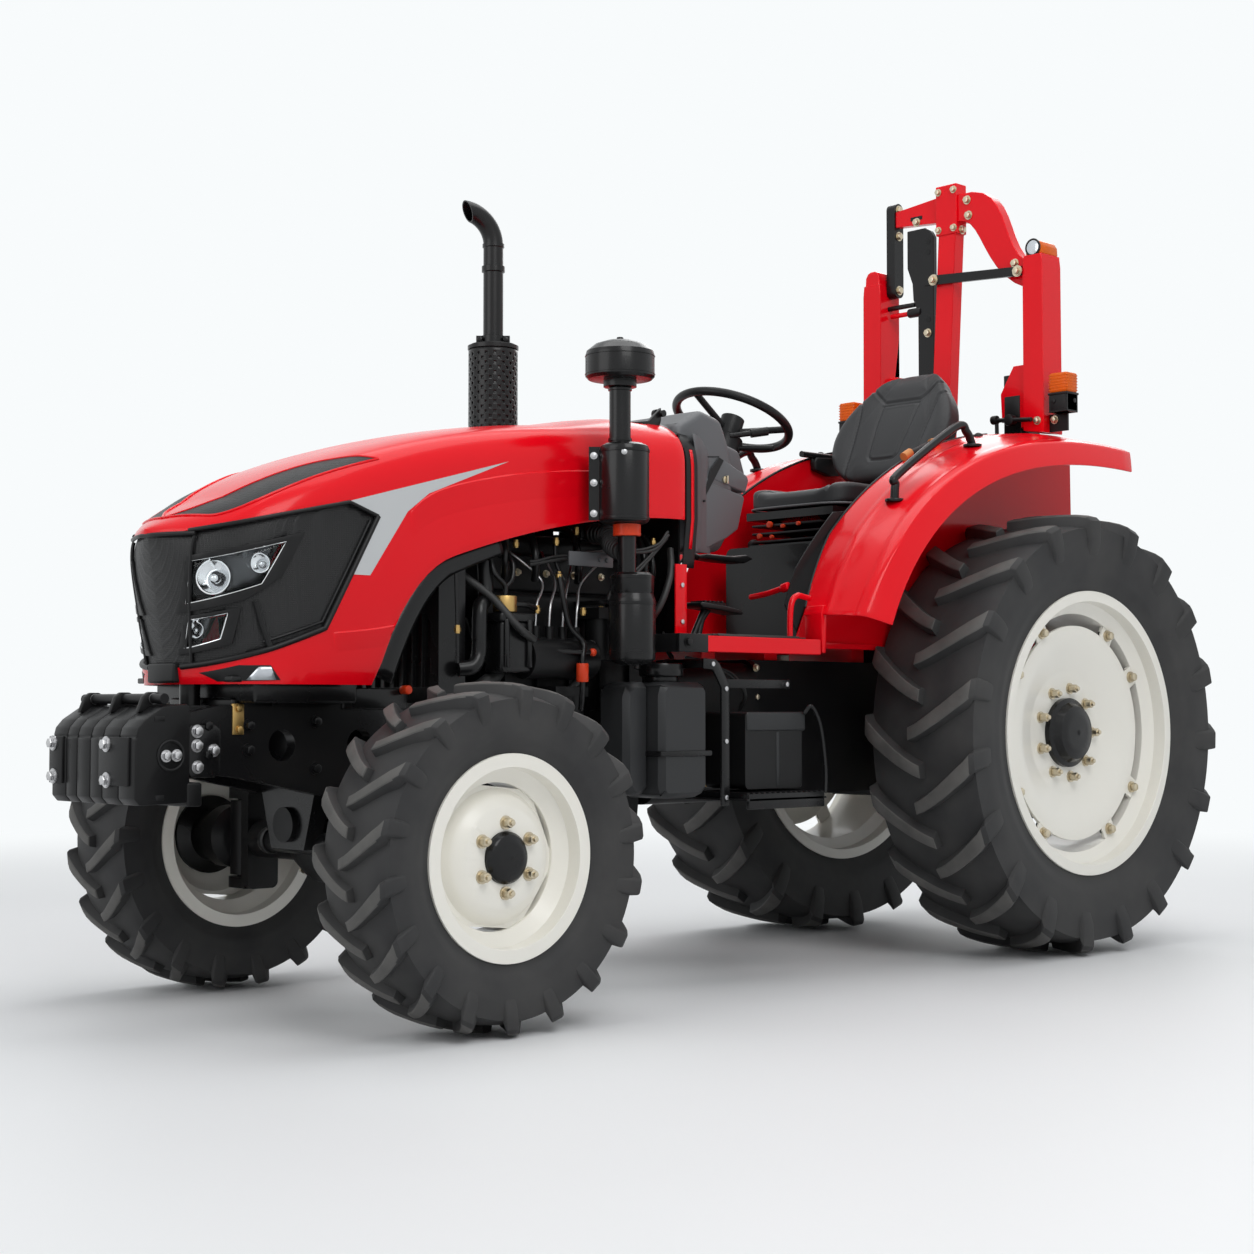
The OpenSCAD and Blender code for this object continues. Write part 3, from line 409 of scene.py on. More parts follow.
# slot, colour, roughness and what departs from the plain finish
FINISHES = {
    "red_paint": (
        "red_paint", "red", 0.16,
        dict(coat=0.1, spread=0.08, dust=(0.74, 0.003, 0.012), grain=500, bump=0.01, depth=0.0002, spec=0.2)
    ),
    "black_paint": (
        "black_paint", "black", 0.24, dict(coat=0.08, spread=0.3, dust=(0.011, 0.011, 0.011), grain=260, spec=0.25)
    ),
    "cast_black": (
        "iron", "black", 0.34, dict(spread=0.4, dust=(0.012, 0.012, 0.012), scale=9, grain=420, bump=0.18, spec=0.2)
    ),
    "cream_paint": (
        "cream_paint", "cream", 0.3, dict(coat=0.2, spread=0.2, dust=(0.78, 0.755, 0.68), grain=300, bump=0.03)
    ),
    "tyre_rubber": (
        "rubber", "rubber", 0.6, dict(spread=0.5, dust=(0.085, 0.083, 0.08), scale=6, grain=380, bump=0.18, spec=0.3)
    ),
    # Lighter rubber for the outer half of the lugs: painted highlight where light falls on the lug tops.
    "lug_top_painted_highlight": (
        "rubber", (0.085, 0.083, 0.08), 0.6,
        dict(spread=0.6, dust=(0.16, 0.155, 0.147), scale=14, grain=420, bump=0.2, spec=0.25)
    ),
    "hose_rubber": ("rubber", (0.014, 0.014, 0.014), 0.5, dict(spread=0.25, grain=500, bump=0.12)),
    "grey_plastic": ("grey_plastic", "grey", 0.42, dict(spread=0.12, grain=900, bump=0.12, depth=0.0004)),
    "black_plastic": (
        "black_plastic", (0.009, 0.009, 0.0095), 0.34, dict(spread=0.2, grain=800, bump=0.1, depth=0.0004, spec=0.22)
    ),
    "box_plastic": (
        "black_plastic", (0.026, 0.027, 0.0285), 0.4, dict(spread=0.2, grain=700, bump=0.12, depth=0.0004, spec=0.3)
    ),
    "mesh_plate": ("black_plastic", (0.009, 0.009, 0.0095), 0.4, dict(spread=0.2, grain=300, spec=0.35)),
    "piping": ("grey_plastic", (0.1, 0.1, 0.105), 0.5, dict(spread=0.2)),
    "seat_leather": (
        "seat_leather", (0.021, 0.0215, 0.023), 0.46,
        dict(spread=0.25, dust=(0.032, 0.032, 0.035), scale=7, grain=520, bump=0.25, depth=0.0008, spec=0.3)
    ),
    "signal_red": ("red_paint", (0.62, 0.045, 0.01), 0.35, dict(coat=0.1, spread=0.2, spec=0.25)),
    "orange_grip": ("amber_lens", (0.6, 0.22, 0.05), 0.45, dict(spread=0.2, dust=(0.5, 0.26, 0.12))),
    "brass": ("steel", (0.5, 0.33, 0.12), 0.35, dict(metallic=1.0, spread=0.25, dust=(0.3, 0.2, 0.1), grain=200)),
    "bare_steel": (
        "steel", (0.55, 0.55, 0.56), 0.3, dict(metallic=1.0, spread=0.2, dust=(0.4, 0.39, 0.38), grain=300)
    ),
    "zinc_bolts": (
        "steel", (0.6, 0.53, 0.4), 0.32, dict(metallic=1.0, spread=0.3, dust=(0.45, 0.36, 0.24), scale=40, grain=300)
    ),
    "chrome": (
        "steel", (0.8, 0.81, 0.82), 0.08, dict(metallic=1.0, spread=0.1, dust=(0.6, 0.61, 0.62), grain=200, bump=0.01)
    ),
    # Silver of the stripe, also used as painted highlight on the stripe's thin rear tip.
    "silver_stripe_and_painted_highlight": ("steel", (0.5, 0.51, 0.52), 0.28, dict(metallic=0.7, coat=0.4, grain=600, bump=0.02)),
    "amber_lens": (
        "amber_lens", (0.72, 0.12, 0.003), 0.22, dict(dust=(0.6, 0.11, 0.004), grain=80, bump=0.02, spec=0.2)
    ),
    "lamp_glass": (
        "lamp_glass", (0.62, 0.66, 0.7), 0.08,
        dict(metallic=0.55, coat=1.0, spread=0.5, dust=(0.2, 0.22, 0.24), scale=14, grain=160, bump=0.2)
    ),
    "lamp_bowl": (
        "black_plastic", (0.03, 0.032, 0.035), 0.2,
        dict(metallic=0.6, spread=0.5, dust=(0.2, 0.21, 0.22), scale=20, grain=60, bump=0.1)
    ),
    "clear_cover": (
        "lamp_glass", (0.95, 0.97, 0.98), 0.03,
        dict(spread=0.05, dust=(0.9, 0.92, 0.94), grain=80, bump=0.02, clear=1.0, ior=1.2)
    ),
    "pale_floor": (
        None, (0.80, 0.81, 0.82), 0.5, dict(spread=0.12, dust=(0.75, 0.76, 0.775), scale=0.6, grain=30, bump=0.0)
    ),
}
PLAIN = dict(
    metallic=0.0, coat=0.0, spread=0.15, dust=None, scale=4.0, grain=150.0, bump=0.05, depth=0.001, spec=0.5,
    clear=0.0, ior=1.5
)


def finish(look):
    """A procedural finish with drift in colour and roughness and a fine grain, made at its first use."""
    name = f"tractor_{look}"
    if name in bpy.data.materials:
        return bpy.data.materials[name]
    _, colour, roughness, more = FINISHES[look]
    v = PLAIN | more
    if isinstance(colour, str):
        colour = getattr(colours(), colour)
    m = bpy.data.materials.new(name)
    m.use_nodes = True
    t = m.node_tree
    dust = v["dust"] or [min(1, c * 1.35 + 0.004) for c in colour]
    g = put(t, "ShaderNodeGroup", node_tree=surface_group())
    fill(g, {"Colour": (*colour, 1), "Dust": (*dust, 1), "Roughness": roughness})
    fill(g, {"Spread": v["spread"], "Scale": v["scale"], "Grain": v["grain"]})
    shader = t.nodes["Principled BSDF"]
    fill(shader, {"Metallic": v["metallic"], "Specular IOR Level": v["spec"]})
    fill(shader, {"Coat Weight": v["coat"], "Coat Roughness": 0.06})
    fill(shader, {"Transmission Weight": v["clear"], "IOR": v["ior"]})
    p = shader.inputs
    b = put(t, "ShaderNodeBump", {"Strength": v["bump"], "Distance": v["depth"]})
    wire(
        t,
        (g.outputs["Colour"], p["Base Color"]),
        (g.outputs["Roughness"], p["Roughness"]),
        (g.outputs["Height"], b.inputs["Height"]),
        (b.outputs["Normal"], p["Normal"]),
    )
    if look == "mesh_plate":
        press_cells(t)
    return m


def press_cells(t):
    """A fine hexagon pattern pressed into a plate."""
    cells = put(t, "ShaderNodeTexVoronoi", feature="DISTANCE_TO_EDGE")
    fill(cells, {"Scale": 190.0, "Randomness": 0.0})
    edge = put(t, "ShaderNodeMapRange", {"From Min": 0.08, "From Max": 0.2})
    b = put(t, "ShaderNodeBump", {"Strength": 0.5, "Distance": 0.002}, invert=True)
    wire(
        t,
        (put(t, "ShaderNodeTexCoord").outputs["Object"], cells.inputs["Vector"]),
        (cells.outputs["Distance"], edge.inputs["Value"]),
        (edge.outputs["Result"], b.inputs["Height"]),
        (b.outputs["Normal"], t.nodes["Principled BSDF"].inputs["Normal"]),
    )


# finishes of the nodes that stay

TYRES = ("front_tyre_left", "front_tyre_right", "rear_tyre_left", "rear_tyre_right")
NODE_FINISH = {
    "red_paint": ("hood_shell", "fender_left", "fender_right", "platform", "roll_posts", "mast_post", "mast_arms"),
    "cream_paint": ("front_rim_left", "front_rim_right", "rear_rim_left", "rear_rim_right"),
    "tyre_rubber": TYRES,
    "grey_plastic": ("console",),
    "black_plastic": (
        "steering_column", "steering_wheel", "controls", "fuel_tank", "battery_box", "tool_box", "grille",
        "lamp_brackets"
    ),
    "seat_leather": ("seat_cushion", "seat_back"),
    "cast_black": (
        "gear_case", "axle_trumpets", "engine", "engine_fittings", "front_axle", "front_weights", "knuckle_left",
        "knuckle_right"
    ),
    "bare_steel": ("tie_rod", "pto_shaft", "lift_rods"),
    "amber_lens": ("turn_lamps",),
    "lamp_glass": ("headlamps",),
}
KEEP_SHARP = TYRES + ("hood_shell", "grille", "headlamps")


def smooth_group():
    """Joins the loose triangles of a node and smooths it up to an angle."""
    g = bpy.data.node_groups.new("join_and_smooth", "GeometryNodeTree")
    for way in ("INPUT", "OUTPUT"):
        g.interface.new_socket(name="Geometry", in_out=way, socket_type="NodeSocketGeometry")
    merge = put(g, "GeometryNodeMergeByDistance", {"Distance": 2e-5})
    faces = put(g, "GeometryNodeSetShadeSmooth")
    edges = put(g, "GeometryNodeSetShadeSmooth", {"Shade Smooth": False}, domain="EDGE")
    sharp = put(g, "FunctionNodeCompare", {"B": math.radians(32)})
    angle = put(g, "GeometryNodeInputMeshEdgeAngle")
    wire(
        g,
        (angle.outputs["Unsigned Angle"], sharp.inputs["A"]),
        (sharp.outputs["Result"], edges.inputs["Selection"]),
        (put(g, "NodeGroupInput").outputs[0], merge.inputs["Geometry"]),
        (merge.outputs["Geometry"], faces.inputs["Geometry"]),
        (faces.outputs["Geometry"], edges.inputs["Geometry"]),
        (edges.outputs["Geometry"], put(g, "NodeGroupOutput").inputs[0]),
    )
    return g


def ease_modifier(obj, width, degrees):
    """Eased edges above an angle."""
    mod = obj.modifiers.new("ease", "BEVEL")
    mod.width = width
    mod.segments = 2
    mod.limit_method = "ANGLE"
    mod.angle_limit = math.radians(degrees)


class TRACTOR_OT_finishes(bpy.types.Operator):
    """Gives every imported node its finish, smooth faces and eased edges."""

    bl_idname = "tractor.finishes"
    bl_label = "Finishes"

    def execute(self, context):
        tree = smooth_group()
        looks = {name: look for look, names in NODE_FINISH.items() for name in names}
        for name, obj in frame["nodes"].items():
            obj.data.materials.clear()
            obj.data.materials.append(finish(looks.get(name, "black_paint")))
            mod = obj.modifiers.new("join", "NODES")
            mod.node_group = tree
            if name not in KEEP_SHARP:
                ease_modifier(obj, 0.0025, 40)
        return {"FINISHED"}


# tyres


class TRACTOR_OT_tyres(bpy.types.Operator):
    """Four tyres: a spun carcass with lofted lugs turned round the axle, the lug tops in a lighter rubber as painted
    highlight.
    """

    bl_idname = "tractor.tyres"
    bl_label = "Tyres"

    def lug(self, bm, big, fr, h, lug, side, start):
        """One lug from the middle of the tread over the shoulder."""
        s = lug / 32
        base = big - lug
        hs = h - 15 * s
        low = mix(fr, big, 0.42)
        high = mix(fr, big, 0.6)

        def wall(r):
            t = max(0.0, (r - fr - 4) / (base - 20 - fr - 4))
            return mix(self.flange_y - 8, hs, math.sin(math.radians(min(90, 126 * t))))

        def crown(y):
            return base - 20 * (abs(y) / hs) ** 3.2

        rows = []
        stations = [mix(-0.09 * h, 0.86 * h, i / 7) for i in range(8)]
        ends = []
        for y in stations:
            fall = 7 * s * min(1, (y - 0.3 * h) / (0.54 * h))
            top = big if y < 0.3 * h else big - fall - max(0, y - 0.84 * h) / (0.16 * h) * 23 * s
            ends.append((top, y, crown(y) - 8, y, (y + 0.09 * h) / (1.09 * h + 6)))
        ends.append((big - 16 * s, 0.945 * h, base - 26 * s, hs - 6 * s, 0.955))
        ends.append((big - 30 * s, h, base - 36 * s, hs - 8 * s, 0.99))
        ends.append((mix(high, big - 30 * s, 0.5), h - s, mix(high, base, 0.4), hs - 10 * s, 1.0))
        ends.append((high, h - 4 * s, high, wall(high) - 10, 1.01))
        ends.append((low, wall(low) - 2, low, wall(low) - 12, 1.02))
        for rt, yt, rb, yb, t in ends:
            off = 0.72 * h * t**1.25
            half = mix(0.088, 0.145, t) * h
            row = []
            for r, y, w in ((rb, yb, -half - 11 * s), (rt, yt, -half), (rt, yt, half), (rb, yb, half + 11 * s)):
                a = start + (off + w) / big
                row.append(Vector((r * math.cos(a), side * y, r * math.sin(a))) * 0.001)
            rows.append(row)
        made = loft(bm, rows)
        bmesh.ops.contextual_create(bm, geom=made[0])
        bmesh.ops.contextual_create(bm, geom=made[-1])
        edges = [bm.edges.get((made[i][k], made[i + 1][k])) for i in range(len(made) - 1) for k in (1, 2)]
        edges.append(bm.edges.get((made[0][1], made[0][2])))
        ease(bm, edges, 0.0045)

    def carcass(self, bm, big, fr, fy, h, lug):
        """The tyre without its lugs, as a spun profile."""
        s = lug / 32
        base = big - lug
        hs = h - 15 * s
        out = [(fr - 25.8, fy - 8.4), (fr - 4, fy - 8.4), (fr + 3, fy - 6)]
        for i in range(1, 14):
            t = i / 13
            y = mix(fy - 8, hs, math.sin(math.radians(min(90, 126 * t))))
            ring = 2.2 * s if i in (3, 4) else 0
            out.append((mix(fr + 4, base - 20, t), y + ring))
        for i in range(1, 9):
            y = hs * (1 - i / 8)
            out.append((base - 20 * (y / hs) ** 3.2, y))
        full = out + [(r, -y) for r, y in reversed(out[:-1])]
        inner = [(r - (18 if y > hs * 0.9 or r > base - 40 else 0), y * 0.86) for r, y in out]
        inner_full = [(r, -y) for r, y in inner[:-1]] + list(reversed(inner))
        pts = [Vector((r * 0.001, y * 0.001, 0)) for r, y in full + inner_full]
        spin(bm, pts, (0, 0, 0), (0, 1, 0), steps=120, closed=True)

    def execute(self, context):
        z = sizes()
        kinds = (("front", FRONT_HUB, z.front_radius, z.front_width, 24, z.front_lugs, 254, 108),
                 ("rear", REAR_HUB, z.rear_radius, z.rear_width, 32, z.rear_lugs, 461, 173))
        for kind, hub, big, width, lug, n, fr, fy in kinds:
            self.flange_y = fy
            for name, s in SIDES:
                bm = bmesh.new()
                h = width / 2
                self.lug(bm, big, fr, h, lug, 1, 0.0)
                self.lug(bm, big, fr, h, lug, -1, math.pi / n)
                geom = bm.verts[:] + bm.edges[:] + bm.faces[:]
                bmesh.ops.spin(
                    bm, geom=geom, cent=(0, 0, 0), axis=(0, -1, 0), dvec=(0, 0, 0), angle=math.tau * (n - 1) / n,
                    steps=n - 1, use_duplicate=True
                )
                self.carcass(bm, big, fr, fy, h, lug)
                if s < 0:
                    bmesh.ops.scale(bm, vec=(1, -1, 1), verts=bm.verts)
                bmesh.ops.translate(bm, verts=bm.verts, vec=(hub.x, s * hub.y, hub.z))
                outward(bm)
                # Faces on the outer half of the lugs take the second finish, the lighter rubber that paints highlight
                # on the lug tops.
                for f in bm.faces:
                    c = f.calc_center_median()
                    if math.hypot(c.x - hub.x, c.z - hub.z) * 1000 > big - 0.5 * lug:
                        f.material_index = 1
                obj = add_piece(
                    f"{kind}_tyre_{name}_tread", bm, "tyre_rubber", (f"{kind}_tyre_{name}",), smooth=35,
                    body=f"{kind}_wheel_{name}"
                )
                obj.data.materials.append(finish("lug_top_painted_highlight"))
        return {"FINISHED"}


# wheel bolts


class TRACTOR_OT_wheel_bolts(bpy.types.Operator):
    """Bolts of the discs with their stud ends, and bolts of the clamp ears."""

    bl_idname = "tractor.wheel_bolts"
    bl_label = "Wheel bolts"

    def execute(self, context):
        kinds = (("front", FRONT_HUB, 6, 85.5, 11, 24), ("rear", REAR_HUB, 9, 146.5, 12, 30))
        for kind, hub, count, ring, r, tall in kinds:
            for name, s in SIDES:
                nuts = bmesh.new()
                face = self.face(f"{kind}_rim_{name}", hub, s, ring)
                for i in range(count):
                    a = (i + 0.5) * math.tau / count
                    c = Vector((hub.x + math.cos(a) * ring * 0.001, face, hub.z + math.sin(a) * ring * 0.001))
                    bolt(nuts, c, (0, s, 0), r * 0.001 * 1.15, tall * 0.001)
                    disc(nuts, c + Vector((0, s * tall * 0.001, 0)), (0, s, 0), r * 0.0006, 0.008, 12, bevel=0.001)
                if kind == "rear":
                    for turn in (30, 60, 120, 150, 210, 240, 300, 330):
                        a = math.radians(turn)
                        c = Vector((hub.x + math.cos(a) * 0.37, s * (hub.y + 0.106), hub.z + math.sin(a) * 0.37))
                        disc(nuts, c, (0, s, 0), 0.019, 0.004, 20)
                        bolt(nuts, c + Vector((0, s * 0.004, 0)), (0, s, 0), 0.0135, 0.018)
                solid(f"{kind}_wheel_{name}_bolts", nuts, "zinc_bolts", body=f"{kind}_wheel_{name}")
        return {"FINISHED"}

    def face(self, node, hub, s, ring):
        """Outermost Y of the disc near a bolt circle."""
        best = None
        for v in frame["nodes"][node].data.vertices:
            off = abs(math.hypot(v.co.x - hub.x, v.co.z - hub.z) * 1000 - ring)
            if best is None or off < best[0] - 0.5 or (off < best[0] + 0.5 and s * v.co.y > s * best[1]):
                best = (off, v.co.y)
        return best[1]


# hood


def hood_top(x):
    """Height of the hood's middle line."""
    t = (x - HOOD_X0) / (FX + NOSE - HOOD_X0)
    return bez((1652, 1618, 1520, 1238), t * 0.55 + t * t * 0.45)


def hood_w(x):
    """Half width of the hood."""
    t = max(0, (x - FX - 39) / (600 - 39))
    return sizes().hood_half * math.sqrt(max(0.02, 1 - t**5)) - 12 * max(0, (FX - 400 - x) / 700) ** 2


def hood_low(x):
    """Height of the hood's lower edge."""
    if x > FX + 114:
        return 852
    if x < FX - 147:
        return bez((1345, 1345, 1290, 1194), (x - HOOD_X0) / (FX - 147 - HOOD_X0))
    return bez((1194, 1165, 1080, 862), (x - FX + 147) / 261)


CROWN_FLAT = 0.5
SHOULDER = 0.646
KNEE = 0.7


def hood_pt(x, a, d):
    """A point of the hood skin, d millimetres inside it.

    The share a runs from the right lower edge over the top to the left one.
    """
    s = -1 if a < 0.5 else 1
    u = abs(a - 0.5) * 2
    rise = 5 * clamp((0.47 - u) / 0.05) * clamp((FX + 520 - x) / 150) * clamp((x - 1500) / 250)
    w = hood_w(x) - d
    top = hood_top(x) - d
    low = hood_low(x)
    knee = max(low + 10, top - 175)
    v = min(1, u / KNEE)
    y = w * math.sin(math.radians(90 * v)) ** 0.8 if u < KNEE else w
    if u < KNEE:
        z = mix(knee, top, max(0, math.cos(math.radians(90 * v))) ** 0.62)
    else:
        z = mix(knee, low, (u - KNEE) / 0.3)
    k = max(0, (x - FX - 39) / (NOSE - 39))
    shoulder = mix(knee, top, SHOULDER)
    if z > shoulder:
        flat = CROWN_FLAT * clamp((x - 1620) / 280) * clamp((FX + 590 - x) / 160)
        z = shoulder + (z - shoulder) * (1 - flat)
    return mm(x - d * k * 0.8 - 0.16 * k * (1219 - z), s * y, z + rise)


def hood_stations():
    """Lengths at which the skin has a row of points, closer at the nose."""
    rear = [mix(HOOD_X0, FX + 60, i / 36) for i in range(36)]
    return rear + [mix(FX + 60, FX + NOSE, math.sin(math.radians(i * 90 / 24))) for i in range(25)]


HOOD_A = sorted({round(v, 4) for v in [i / 60 for i in range(61)] + [0.262, 0.268, 0.732, 0.738]})
# line, depth in the skin, radius and sides of each bead
GRILLE_BEADS = (
    ([(102, 1282), (190, 1312), (380, 1270), (556, 1229)], 1, 0.0055, 10),
    ([(102, 1282), (262, 992), (400, 940), (540, 895)], 1, 0.0075, 10),
    ([(124, 1270), (268, 1008), (420, 955)], 5, 0.004, 8),
    ([(440, 1055), (425, 1000), (405, 945)], 4, 0.008, 8),
)
NOSE_BEAD = [(146, 1215), (140, 1156), (122, 1040), (106, 900)]
GRILLE = [(102, 1282), (190, 1312), (700, 1197), (700, 878), (540, 893), (262, 992)]
LAMP = [(552, 1049), (557, 1153), (370, 1204), (428, 1097)]
FOG = [(541, 940), (545, 1010), (492, 1026), (500, 962)]
LAMP_FRAME = [(560, 1026), (563, 1166), (319, 1230), (379, 1118), (464, 1058)]
FOG_FRAME = [(546, 924), (552, 1018), (470, 1040), (482, 950)]
CHIN_LAMP = [(380, 862), (500, 858), (525, 880), (470, 898), (404, 898)]


def side_cut(bm, outline, keep_inside, ymin=0.0):
    """Cuts a skin along a side-view outline and keeps one side of it."""
    pts = [mm(FX + x, 0, z) for x, z in outline]
    n = len(pts)
    area = sum(pts[i].x * pts[(i + 1) % n].z - pts[(i + 1) % n].x * pts[i].z for i in range(n))
    sign = 1 if area > 0 else -1
    for i in range(n):
        d = pts[(i + 1) % n] - pts[i]
        no = Vector((d.z, 0, -d.x)).normalized()
        bmesh.ops.bisect_plane(
            bm, geom=bm.verts[:] + bm.edges[:] + bm.faces[:], dist=JOIN, plane_co=pts[i], plane_no=no
        )

    def inside(c):
        if abs(c.y) < ymin:
            return False
        for i in range(n):
            d = pts[(i + 1) % n] - pts[i]
            if sign * (d.x * (c.z - pts[i].z) - d.z * (c.x - pts[i].x)) < -1e-6:
                return False
        return True

    drop = [f for f in bm.faces if inside(f.calc_center_median()) != keep_inside]
    bmesh.ops.delete(bm, geom=drop, context="FACES")


def skin(depth):
    """The hood's surface at a depth below the skin, as a bmesh."""
    bm = bmesh.new()
    rows = [[hood_pt(x, a, depth) for a in HOOD_A] for x in hood_stations()]
    for k in (0.5, 0.0):
        rows.append([Vector((p.x + 0.003 * (1 - k), p.y * k, p.z)) for p in rows[-1 if k else -2]])
    loft(bm, rows)
    bmesh.ops.remove_doubles(bm, verts=bm.verts, dist=JOIN)
    upward(bm)
    return bm


def thicken(obj, thick, bevel=0.0):
    """Gives a skin its thickness inwards and eases its edges."""
    mod = obj.modifiers.new("thickness", "SOLIDIFY")
    mod.thickness = thick
    mod.offset = -1
    if bevel:
        ease_modifier(obj, bevel, 50)


class TRACTOR_OT_hood(bpy.types.Operator):
    """Hood skin with its stripe and vent, grille, lamps and chin."""

    bl_idname = "tractor.hood"
    bl_label = "Hood"

    def execute(self, context):
        bm = skin(0)
        side_cut(bm, GRILLE, False)
        obj = add_piece("hood_skin", bm, "red_paint", smooth=38, body="hood")
        thicken(obj, 0.006, 0.0015)
        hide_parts("hood_shell")
        self.inner_parts()
        self.stripe()
        self.folds()
        self.vent()
        self.grille()
        self.lamps()
        return {"FINISHED"}

    def inner_parts(self):
        """Cross member and hinge arms under the skin."""
        bm = bmesh.new()
        w = hood_w(FX + 505) - 3
        block(bm, (FX + 450, -w, 857), (FX + 490, w, 871), 0.003)
        for s in (1, -1):
            pts = [
                (1446, 1650), (1462, hood_top(1462) - 60), (1606, hood_top(1606) - 60), (1606, hood_top(1606) - 20),
                (1496, hood_top(1496) - 8), (1446, 1686)
            ]
            slab(bm, pts, s * 166, s * 0.012, 0.002)
        solid("hood_inner_frame", bm, "black_paint", body="hood")

    def flank(self, x, z, s, lift):
        """The point of the skin at a height on one flank."""
        lo, hi = 0.5, 1.0
        for _ in range(24):
            m = (lo + hi) / 2
            if hood_pt(x, m, lift).z * 1000 > z:
                lo = m
            else:
                hi = m
        p = hood_pt(x, (lo + hi) / 2, lift)
        return Vector((p.x, s * p.y, p.z))

    def stripe(self):
        """Silver sweep from the grille's rear edge up along the flank; its thin rear tip is partly painted highlight.
        """
        # The first outline is the thin rear tip: the silver band, and from about x -206 back to -330 a painted
        # highlight on the flank.
        for k, outline in enumerate((
            [(-330, 1458), (-60, 1352), (-60, 1384)], [(-60, 1352), (9, 1300), (100, 1285), (188, 1316), (-60, 1384)],
            [(9, 1300), (127, 1130), (186, 1130), (100, 1285)]
        )):
            bm = skin(-0.7)
            side_cut(bm, outline, True, 0.15)
            add_piece(f"hood_stripe_{k + 1}", bm, "silver_stripe_and_painted_highlight", smooth=38, body="hood")

    def folds(self):
        """Pressed folds of the flanks: a sharp upper edge and a facet that runs out below it."""
        bm = bmesh.new()
        paths = (
            ([(4, 1298), (-40, 1338), (-110, 1372), (-230, 1404), (-400, 1436), (-600, 1458), (-760, 1466)], 90),
            ([(255, 984), (190, 990), (110, 999), (30, 1012)], 60),
        )
        for line, deep in paths:
            mids = smooth_path([mm(FX + x, 0, z) for x, z in line], 8)
            for s in (1, -1):
                rows = []
                for i, p in enumerate(mids):
                    x, z = (p.x - AX) * 1000, p.z * 1000
                    t = i / (len(mids) - 1)
                    full = min(1, t / 0.1, (1 - t) / 0.12)
                    low = hood_low(x) + 2
                    cut = ((0, 1.5), (5, -4.5), (deep * 0.4, -3), (deep, 1))
                    rows.append([self.flank(x, max(low, z - a), s, mix(1, d, full)) for a, d in cut])
                loft(bm, rows)
        sideways(bm)
        add_piece("hood_folds", bm, "red_paint", smooth=25, body="hood")

    def vent(self):
        """Dark mesh wings on the nose, either side of a red spine, each in a thin frame."""
        outer = ((3004, 0.004), (2985, 0.10), (2952, 0.18), (2857, 0.218), (2700, 0.238), (2545, 0.252))
        inner = ((3004, 0.0), (2960, 0.04), (2900, 0.06), (2857, 0.075), (2700, 0.13), (2545, 0.25))
        rim = bmesh.new()
        bm = bmesh.new()
        for s in (1, -1):
            lines = [smooth_path([Vector((x, a, 0)) for x, a in line], 8) for line in (inner, outer)]
            rows = []
            for p, q in zip(*lines):
                rows.append([hood_pt(
                    mix(p.x, q.x, k / 10), 0.5 + s * mix(p.y, q.y, k / 10), -0.8
                ) for k in range(11)])
            loft(bm, rows)
            ring = [r[0] for r in rows] + [r[-1] for r in reversed(rows)]
            self.frame_strip(rim, ring, 0.003)
        upward(bm)
        add_piece("hood_vent_mesh", bm, "mesh_plate", smooth=38, body="hood")
        outward(rim)
        add_piece("hood_vent_frame", rim, "red_paint", smooth=35, body="hood")

    def frame_strip(self, bm, ring, r):
        """A round bead along a closed line."""
        tube(bm, ring + ring[:2], r, 8, cap=False)

    def grille(self):
        """Mesh panels, thick frames round the lamps, border beads and the chin block."""
        bm = skin(8)
        grown = [(92, 1282), (190, 1322), (700, 1207), (700, 868), (540, 883), (252, 984)]
        side_cut(bm, grown, True)
        side_cut(bm, LAMP, False, 0.06)
        side_cut(bm, FOG, False, 0.06)
        obj = add_piece("grille_panel", bm, "mesh_plate", ("grille",), smooth=38, body="hood")
        thicken(obj, 0.006)
        for nm, outer, hole in (("headlamp", LAMP_FRAME, LAMP), ("foglamp", FOG_FRAME, FOG)):
            bm = skin(1.5)
            side_cut(bm, outer, True, 0.06)
            side_cut(bm, hole, False, 0.06)
            obj = add_piece(f"{nm}_frame", bm, "black_plastic", smooth=38, body="hood")
            thicken(obj, 0.008, 0.002)
        bars = bmesh.new()
        for s in (1, -1):
            for line, depth, r, seg in GRILLE_BEADS:
                tube(bars, [self.nose(x, z, s, depth) for x, z in self.dense(line)], r, seg)
            tube(bars, [self.front(s * y, z, 4) for y, z in self.dense(NOSE_BEAD)], 0.005, 8)
        tube(bars, [self.front(y, 1222, 1) for y in range(-150, 151, 10)], 0.0055, 10)
        solid("grille_beads", bars, "black_plastic", smooth=40, body="hood")
        chin = bmesh.new()
        block(chin, (FX + 505, -62, 856), (FX + 556, 62, 905), 0.006, 3)
        solid("chin_block", chin, "black_plastic", body="hood")
        bm = skin(-1.5)
        side_cut(bm, CHIN_LAMP, True, 0.05)
        obj = add_piece("chin_lamp_housing", bm, "black_plastic", smooth=38, body="hood")
        thicken(obj, 0.004, 0.001)
        bm = skin(-3.5)
        side_cut(bm, [(392, 862), (455, 862), (432, 894), (404, 894)], True, 0.05)
        obj = add_piece("chin_lamp_lens", bm, "lamp_glass", smooth=38, body="hood")
        thicken(obj, 0.003)

    def dense(self, pts, n=12):
        """Points filled in between the corners of a line."""
        out = []
        for (x, z), (x2, z2) in zip(pts, pts[1:]):
            out += [(mix(x, x2, k / n), mix(z, z2, k / n)) for k in range(n)]
        return out + [pts[-1]]

